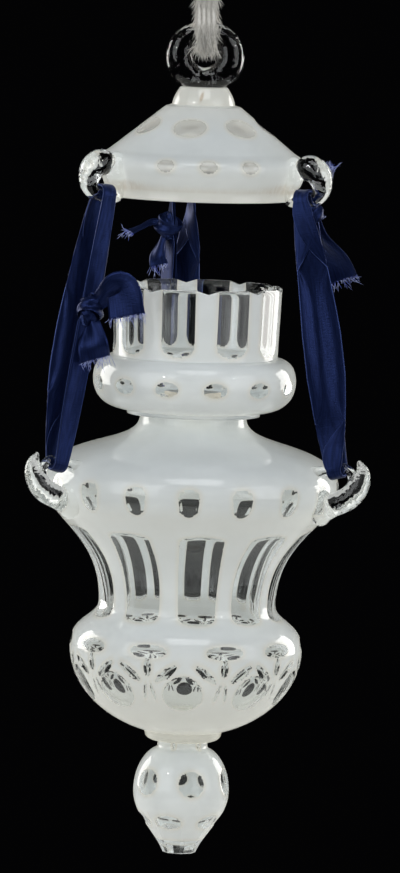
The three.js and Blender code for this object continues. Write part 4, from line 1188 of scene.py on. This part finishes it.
def makeWrap(name, middle, size, axes, k, thick):
    # a pleated band once round the core, on a tilted ellipse
    square, beside, rising = axes
    a = np.linspace(0, 2 * np.pi, k["wrapSteps"], endpoint=False)[:, None]
    path = middle + np.cos(a) * size[0] * square + np.sin(a) * size[1] * beside
    path = path + k["wrapTilt"] * np.sin(a + k["wrapTurn"]) * size[2] * rising
    across = np.linspace(-1, 1, k["wrapColumns"])
    ahead = unit(np.roll(path, -1, axis=0) - np.roll(path, 1, axis=0))
    away = unit(path - middle)
    crosswise, roundabout = k["wrapWaves"]
    pleat = k["wrapPleat"] * np.cos(crosswise * across + roundabout * a) + k["wrapRise"]
    centre = layAcross(path, unit(np.cross(ahead, away)), away, (k["wrapHalf"] * across)[None], pleat)
    return band(name, centre, True, thick, across, a * k["wrapUv"], k["wrapUv"])


def makeEnd(name, points, share, lean, number, degrees, c, k):
    # a loose end that flares from the knot along a smooth curve, its width turned slowly about it
    steps = k["endSteps"]
    path = evenPath(smoothPath(points, k["endSmooth"]), steps)
    t = np.linspace(0, 1, steps)
    ahead = unit(np.gradient(path, axis=0))
    front = math.radians(frontAzimuth)
    flat = unit(np.cross(ahead, np.array([math.cos(front), math.sin(front), k["viewRise"]])))
    sway, swayAlong = k["endSway"]
    tip = np.radians(lean + sway * np.sin(swayAlong * t + number))[:, None]
    wide = np.cos(tip) * flat + np.sin(tip) * np.cross(ahead, flat)
    width = share * c["width"] * (k["endNarrow"] + k["endFlare"] * ease(t * k["endOpens"]))
    across = np.linspace(-1, 1, k["wrapColumns"])
    crosswise, lengthwise = k["endWaves"]
    pleat = np.cos(crosswise * across + lengthwise * t[:, None] + degrees)
    pleat = k["endPleat"] * (k["endPleatFrom"] - t)[:, None] * pleat
    centre = layAcross(path, wide, np.cross(ahead, wide), width[:, None] / 2 * across, pleat)
    thick = c["thick"] * np.r_[0, np.ones(steps - 2), 0]
    along = t[:, None] * pathLengths(path)[-1]
    end = band(name, centre, False, thick, across, along, share * c["width"] / 2)
    # frayed threads set off from the last row but one
    count = int(k["frays"] * share)
    at = rng.uniform(-1, 1, count)
    edge = np.stack([np.interp(at, across, centre[-2, :, axis]) for axis in range(3)], axis=1)
    aims = unit(ahead[-1] + k["frayAside"] * rng.normal(size=(count, 3)))
    long = rng.uniform(*k["frayLong"], count)
    return end, threadTubes(name, edge, aims, long, k["frayThick"], k["frayCurl"], *k["frayGrid"])


def makeKnot(name, degrees, r, c, k):
    # a crumpled lump with a wrap round it, and loose ends that flare out of it
    origin, square, beside, rising, outward = ribbonFrame(degrees, c)
    bend = c["topBend"] + (c["bottomBend"] - c["topBend"]) * r["knot"]
    middle = origin - rising * c["run"] * r["knot"] + beside * (bend + r["proud"] * c["width"] * 0.5)
    size, axes = np.array(r["size"]) * c["width"], (square, beside, rising)
    parts = [makeLump(name, middle, size, axes, degrees, k),
             makeWrap(name, middle, size, axes, k, c["thick"])]
    frays = []
    for number, (share, places, lean) in enumerate(r["ends"]):
        points = [middle] + [middle + c["width"] * (o * outward + s * beside - d * np.array([0, 0, 1.0]))
                             for o, s, d in places]
        end, fray = makeEnd(name, points, share, lean, number, degrees, c, k)
        parts.append(end)
        frays.append(fray)
    knot, fray = joinInto(parts[0], parts[1:]), joinInto(frays[0], frays[1:])
    tidyMesh(knot)
    tidyMesh(fray)
    return knot, fray


satinLook = {"weft": (0.002, 0.004, 0.018, 1), "warp": (0.018, 0.032, 0.122, 1),
             # the edge colour is a painted highlight along the woven edge
             "edge": (0.10, 0.15, 0.42, 1),
             # noise scales across and along for the ribs and for the long floats, in noise sizes a metre
             "ribs": (300, 2200, 1), "floats": (1500, 90, 1),
             # the woven edge lies between these distances from the middle
             "border": (0.0098, 0.0104), "bump": (0.35, 0.0004),
             # threads that mirror in their own colour
             "shader": {"Roughness": 0.36, "Metallic": 0.70, "Specular IOR Level": 0.12, "Sheen Weight": 0.03,
                        "Sheen Tint": (0.25, 0.35, 0.9, 1)}}
frayLook = {"dark": (0.06, 0.09, 0.42, 1), "tip": (0.42, 0.47, 0.78, 1), "scale": 420, "patches": (0.4, 0.6),
            "shader": {"Roughness": 0.6}}


def makeSatin(look):
    # fine cross ribs and long floats: the weave follows the ribbon's own width and length
    material, nodes, shader = newMaterial("navySatin", look["shader"])
    uv = add(nodes, "ShaderNodeUVMap", uv_map="along").outputs[0]
    fine, long = (noise(stretched(uv, look[scale]), Scale=1.0, Detail=2.0)
                  for scale in ("ribs", "floats"))
    floated = mixColours(long, look["weft"], look["warp"])
    # painted highlight: the woven edge is lighter in small dots, as where it catches the light
    split = add(nodes, "ShaderNodeSeparateXYZ")
    wire(uv, split.inputs[0])
    aside = add(nodes, "ShaderNodeMath", operation="ABSOLUTE")
    wire(split.outputs["X"], aside.inputs[0])
    edgeHighlightDots = product(ranged(aside.outputs[0], *look["border"]), fine)
    wire(mixColours(edgeHighlightDots, floated, look["edge"]), shader.inputs["Base Color"])
    tipNormal(shader, fine, *look["bump"])
    return material


def makeFray(look):
    # dark threads, pale in small blotches
    material, nodes, shader = newMaterial("frayedThread", look["shader"])
    place = add(nodes, "ShaderNodeTexCoord").outputs["Object"]
    blotch = noise(place, Scale=look["scale"], Detail=1.0)
    pale = ranged(blotch, *look["patches"])
    wire(mixColours(pale, look["dark"], look["tip"]), shader.inputs["Base Color"])
    return material


satin = makeSatin(satinLook)
frayed = makeFray(frayLook)
for side, degrees in hookAzimuths.items():
    loop, loopLength = makeLoop(f"satin_loop_{side}", degrees, ribbons[side], ribbonSet)
    knotPiece, frayPiece = makeKnot(f"satin_knot_{side}", degrees, ribbons[side], ribbonSet, knotSet)
    frayPiece.name = f"frayed_ends_{side}"
    for piece, material in ((loop, satin), (knotPiece, satin), (frayPiece, frayed)):
        piece.data.materials.append(material)
        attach(piece, f"{side}_ribbon")
    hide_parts(f"ribbon_{side}")
print(f"ribbons tied, loops {loopLength:.3f} m")


# Cotton: the string's own material, its fluff, and the tie that gathers the turns
# the groove colour is painted shade of the grooves between the plies
cottonLook = {"thread": (0.80, 0.765, 0.71, 1), "groove": (0.54, 0.505, 0.45, 1), "stretch": (9, 1.2, 1),
              "scale": 6, "bump": (0.5, 0.0003), "shader": {"Roughness": 0.9, "Sheen Weight": 0.3}}
fluffSet = {"count": 2400, "top": -0.034, "bottom": -0.0640, "long": (0.003, 0.009), "thick": 0.00012,
            "around": 1.5, "root": 0.9, "away": 0.25, "loose": 0.25, "looseWays": (1, 0.2, 1), "curl": 0.22,
            "grid": (5, 3), "uv": 40}
tieSet = {"top": -0.0281, "bottom": -0.0329, "wide": 0.00655, "deep": 0.00405, "turns": 3.3, "tuck": 0.0012,
          "tuckShare": 14, "steps": 240}


def makeCotton(look):
    # loose fibres along the plies, some darker: the darker colour is painted shade of the grooves between
    # them, laid in streaks by noise
    material, nodes, shader = newMaterial("cottonString", look["shader"])
    uv = add(nodes, "ShaderNodeUVMap", uv_map="along").outputs[0]
    fibres = noise(stretched(uv, look["stretch"]), Scale=look["scale"],
                   Detail=4.0, Roughness=0.7)
    wire(mixColours(fibres, look["groove"], look["thread"]), shader.inputs["Base Color"])
    tipNormal(shader, fibres, *look["bump"])
    return material


def makeFluff(path, radius, f):
    # stray fibres that stand off the outer side of the turns, most of them hanging down
    hanging = path[(path[:, 2] < f["top"]) & (path[:, 2] > f["bottom"]) & (np.abs(path[:, 1]) > radius)]
    root = hanging[rng.integers(0, len(hanging), f["count"])]
    outward = np.sign(root[:, 1])
    around = rng.uniform(-f["around"], f["around"], f["count"])
    away = np.stack([np.sin(around), outward * np.cos(around), 0 * around], axis=1)
    loose = f["loose"] * rng.normal(size=(f["count"], 3)) * f["looseWays"]
    aim = unit(away * f["away"] + np.array([0, 0, -1.0]) + loose)
    long = rng.uniform(*f["long"], f["count"])
    start = root + away * radius * f["root"]
    piece = threadTubes("cotton_fluff", start, aim, long, f["thick"], f["curl"], *f["grid"])
    corners = len(piece.data.vertices)
    setUv(piece, np.zeros(corners), np.linspace(0, f["uv"], corners))
    tidyMesh(piece)
    return piece


def makeTie(s, t):
    # a short string wound round the gathered turns in a rising ellipse, its ends tucked in
    turn = np.linspace(0, 2 * np.pi * t["turns"], t["steps"])
    share = turn / turn[-1]
    quick = t["tuckShare"]
    ends = np.clip(1 - share * quick, 0, 1) + np.clip(share * quick - quick + 1, 0, 1)
    inward = 1 - t["tuck"] / t["deep"] * ends
    path = np.stack([t["wide"] * inward * np.cos(turn), t["deep"] * inward * np.sin(turn),
                     t["bottom"] + (t["top"] - t["bottom"]) * share], axis=1)
    return pliedCord("string_tie", path, (0, 0, 1.0), s)


cotton = makeCotton(cottonLook)
fluff = makeFluff(stringPath, stringSet["radius"], fluffSet)
tie = makeTie(stringSet, tieSet)
for piece in (string, fluff, tie):
    piece.data.materials.append(cotton)
for piece in (fluff, tie):
    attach(piece, "string")
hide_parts("cord_tie")
print("string dressed")


# Night light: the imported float, plate and wick keep their shapes and get their own materials
corkLook = {"ground": (0.60, 0.55, 0.48, 1), "pores": (0.36, 0.28, 0.20, 1), "poreScale": 420.0,
            "grainScale": 160.0, "poreSize": (0.10, 0.34), "bump": (0.4, 0.0004),
            "shader": {"Roughness": 0.85}}
tinLook = {"bright": (0.62, 0.63, 0.64, 1), "dull": (0.42, 0.42, 0.42, 1), "scale": 220.0,
           "roughness": (0.25, 0.55), "shader": {"Metallic": 1}}
wickLook = {"waxed": (0.72, 0.68, 0.58, 1), "char": (0.05, 0.04, 0.035, 1), "burntFrom": (-0.2405, -0.2375),
            "braid": 900.0, "bump": (0.4, 0.0003), "shader": {"Roughness": 0.6}}


def makeCork(look):
    # small dark pores and crumbs in a pale ground
    material, nodes, shader = newMaterial("cork", look["shader"])
    place = add(nodes, "ShaderNodeTexCoord").outputs["Object"]
    pores = add(nodes, "ShaderNodeTexVoronoi", Scale=look["poreScale"])
    wire(place, pores.inputs["Vector"])
    grain = noise(place, Scale=look["grainScale"], Detail=3.0)
    dark = ranged(pores.outputs["Distance"], *look["poreSize"], 1.0, 0.0)
    spots = product(dark, grain)
    wire(mixColours(spots, look["ground"], look["pores"]), shader.inputs["Base Color"])
    tipNormal(shader, grain, *look["bump"])
    return material


def makeTin(look):
    # thin tinned sheet, duller in blotches
    material, nodes, shader = newMaterial("tinPlate", look["shader"])
    place = add(nodes, "ShaderNodeTexCoord").outputs["Object"]
    blotch = noise(place, Scale=look["scale"], Detail=3.0)
    wire(mixColours(blotch, look["bright"], look["dull"]), shader.inputs["Base Color"])
    wire(ranged(blotch, 0, 1, *look["roughness"]), shader.inputs["Roughness"])
    return material


def makeWick(look):
    # waxed cotton, charred at its top
    material, nodes, shader = newMaterial("waxedWick", look["shader"])
    place = add(nodes, "ShaderNodeTexCoord").outputs["Object"]
    split = add(nodes, "ShaderNodeSeparateXYZ")
    wire(place, split.inputs[0])
    burnt = ranged(split.outputs["Z"], *look["burntFrom"])
    wire(mixColours(burnt, look["waxed"], look["char"]), shader.inputs["Base Color"])
    tipNormal(shader, noise(place, Scale=look["braid"]), *look["bump"])
    return material


for node, material in (("cork_float", makeCork(corkLook)), ("float_plate", makeTin(tinLook)),
                       ("wick", makeWick(wickLook))):
    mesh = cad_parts[node].data
    mesh.materials.clear()
    mesh.materials.append(material)
print("night light finished")


# Studio: a pale round floor well below the lamp, large soft lamps, and darkness behind
studioSet = {"floorHeight": -0.60, "floorRadius": 0.55, "edgeFall": 0.01, "around": 96,
             "rings": (0.0, 0.3, 0.6, 0.96, 1.0),
             "floor": {"Base Color": (0.62, 0.61, 0.59, 1), "Roughness": 0.6},
             "dark": (0.0010, 0.0010, 0.0012, 1), "ambient": (0.78, 0.89, 1.0, 1), "ambientStrength": 0.20}
lamps = [
    # name, place, aim, size, power, colour
    ("keyLeft", (-1.5, -1.3, 0.30), (0, 0, -0.28), (1.5, 1.8), 17.0, (0.95, 0.98, 1.0)),
    ("keyRight", (1.5, -1.2, 0.25), (0, 0, -0.28), (1.4, 1.7), 13.5, (0.96, 0.98, 1.0)),
    ("overhead", (0.0, -0.75, 1.0), (0, 0, -0.28), (0.9, 0.7), 6.0, (0.97, 0.99, 1.0)),
    ("sparkLeft", (-1.3, -1.5, 0.75), (0, 0, -0.3), (0.07, 0.07), 1.0, (1.0, 1.0, 1.0)),
    ("sparkRight", (1.4, -1.4, 0.70), (0, 0, -0.3), (0.07, 0.07), 0.9, (1.0, 1.0, 1.0)),
    ("backLeft", (-1.5, 1.1, 0.0), (0, 0, -0.3), (0.8, 1.2), 16, (1.0, 0.98, 0.94)),
    ("backRight", (1.6, 1.0, 0.0), (0, 0, -0.3), (0.8, 1.2), 16, (1.0, 0.98, 0.94)),
]


def makeFloor(c):
    # a disc of rings, its rim bent down
    turn = np.linspace(0, 2 * np.pi, c["around"], endpoint=False)
    out = np.array(c["rings"])[:, None] * c["floorRadius"]
    across = np.broadcast_to(c["floorHeight"], (len(out), len(turn)))
    grid = np.stack([out * np.cos(turn), out * np.sin(turn), across], axis=-1)
    grid[-1, :, 2] -= c["edgeFall"]
    floor = bareMesh("floor", grid[::-1], gridFaces(len(out), len(turn)))
    tidyMesh(floor)
    floor.data.materials.append(newMaterial("paleFloor", c["floor"])[0])


def makeWorld(c):
    # soft light on the object, and darkness where the camera, a gloss or a clear glass looks at it
    world = bpy.data.worlds.new("studio")
    bpy.context.scene.world = world
    world.use_nodes = True
    nodes = world.node_tree.nodes
    nodes.clear()
    path = add(nodes, "ShaderNodeLightPath")
    seen = path.outputs["Is Camera Ray"]
    for ray in ("Is Glossy Ray", "Is Transmission Ray"):
        either = add(nodes, "ShaderNodeMath", operation="MAXIMUM")
        wire(seen, either.inputs[0])
        wire(path.outputs[ray], either.inputs[1])
        seen = either.outputs[0]
    soft = add(nodes, "ShaderNodeBackground", Color=c["ambient"], Strength=c["ambientStrength"])
    dark = add(nodes, "ShaderNodeBackground", Color=c["dark"], Strength=1.0)
    mix = add(nodes, "ShaderNodeMixShader")
    output = add(nodes, "ShaderNodeOutputWorld")
    for k, value in enumerate((seen, soft.outputs[0], dark.outputs[0])):
        wire(value, mix.inputs[k])
    wire(mix.outputs[0], output.inputs["Surface"])


def makeLamp(name, where, aim, size, power, colour):
    # an area lamp that faces its aim, with its width level
    light = bpy.data.lights.new(name, "AREA")
    light.shape = "RECTANGLE"
    light.size, light.size_y = size
    light.energy = power
    light.color = colour
    lamp = linked(name, light)
    lamp.visible_transmission = not name.startswith("back")      # else they glare through the far windows
    back = unit(np.array(where, float) - np.array(aim, float))
    right = unit(np.cross([0, 0, 1.0], back))
    stand(lamp, right, np.cross(back, right), back, where)


makeFloor(studioSet)
makeWorld(studioSet)
for row in lamps:
    makeLamp(*row)
bpy.context.scene.view_settings.view_transform = "Standard"
print("studio lit")

bpy.context.view_layer.update()
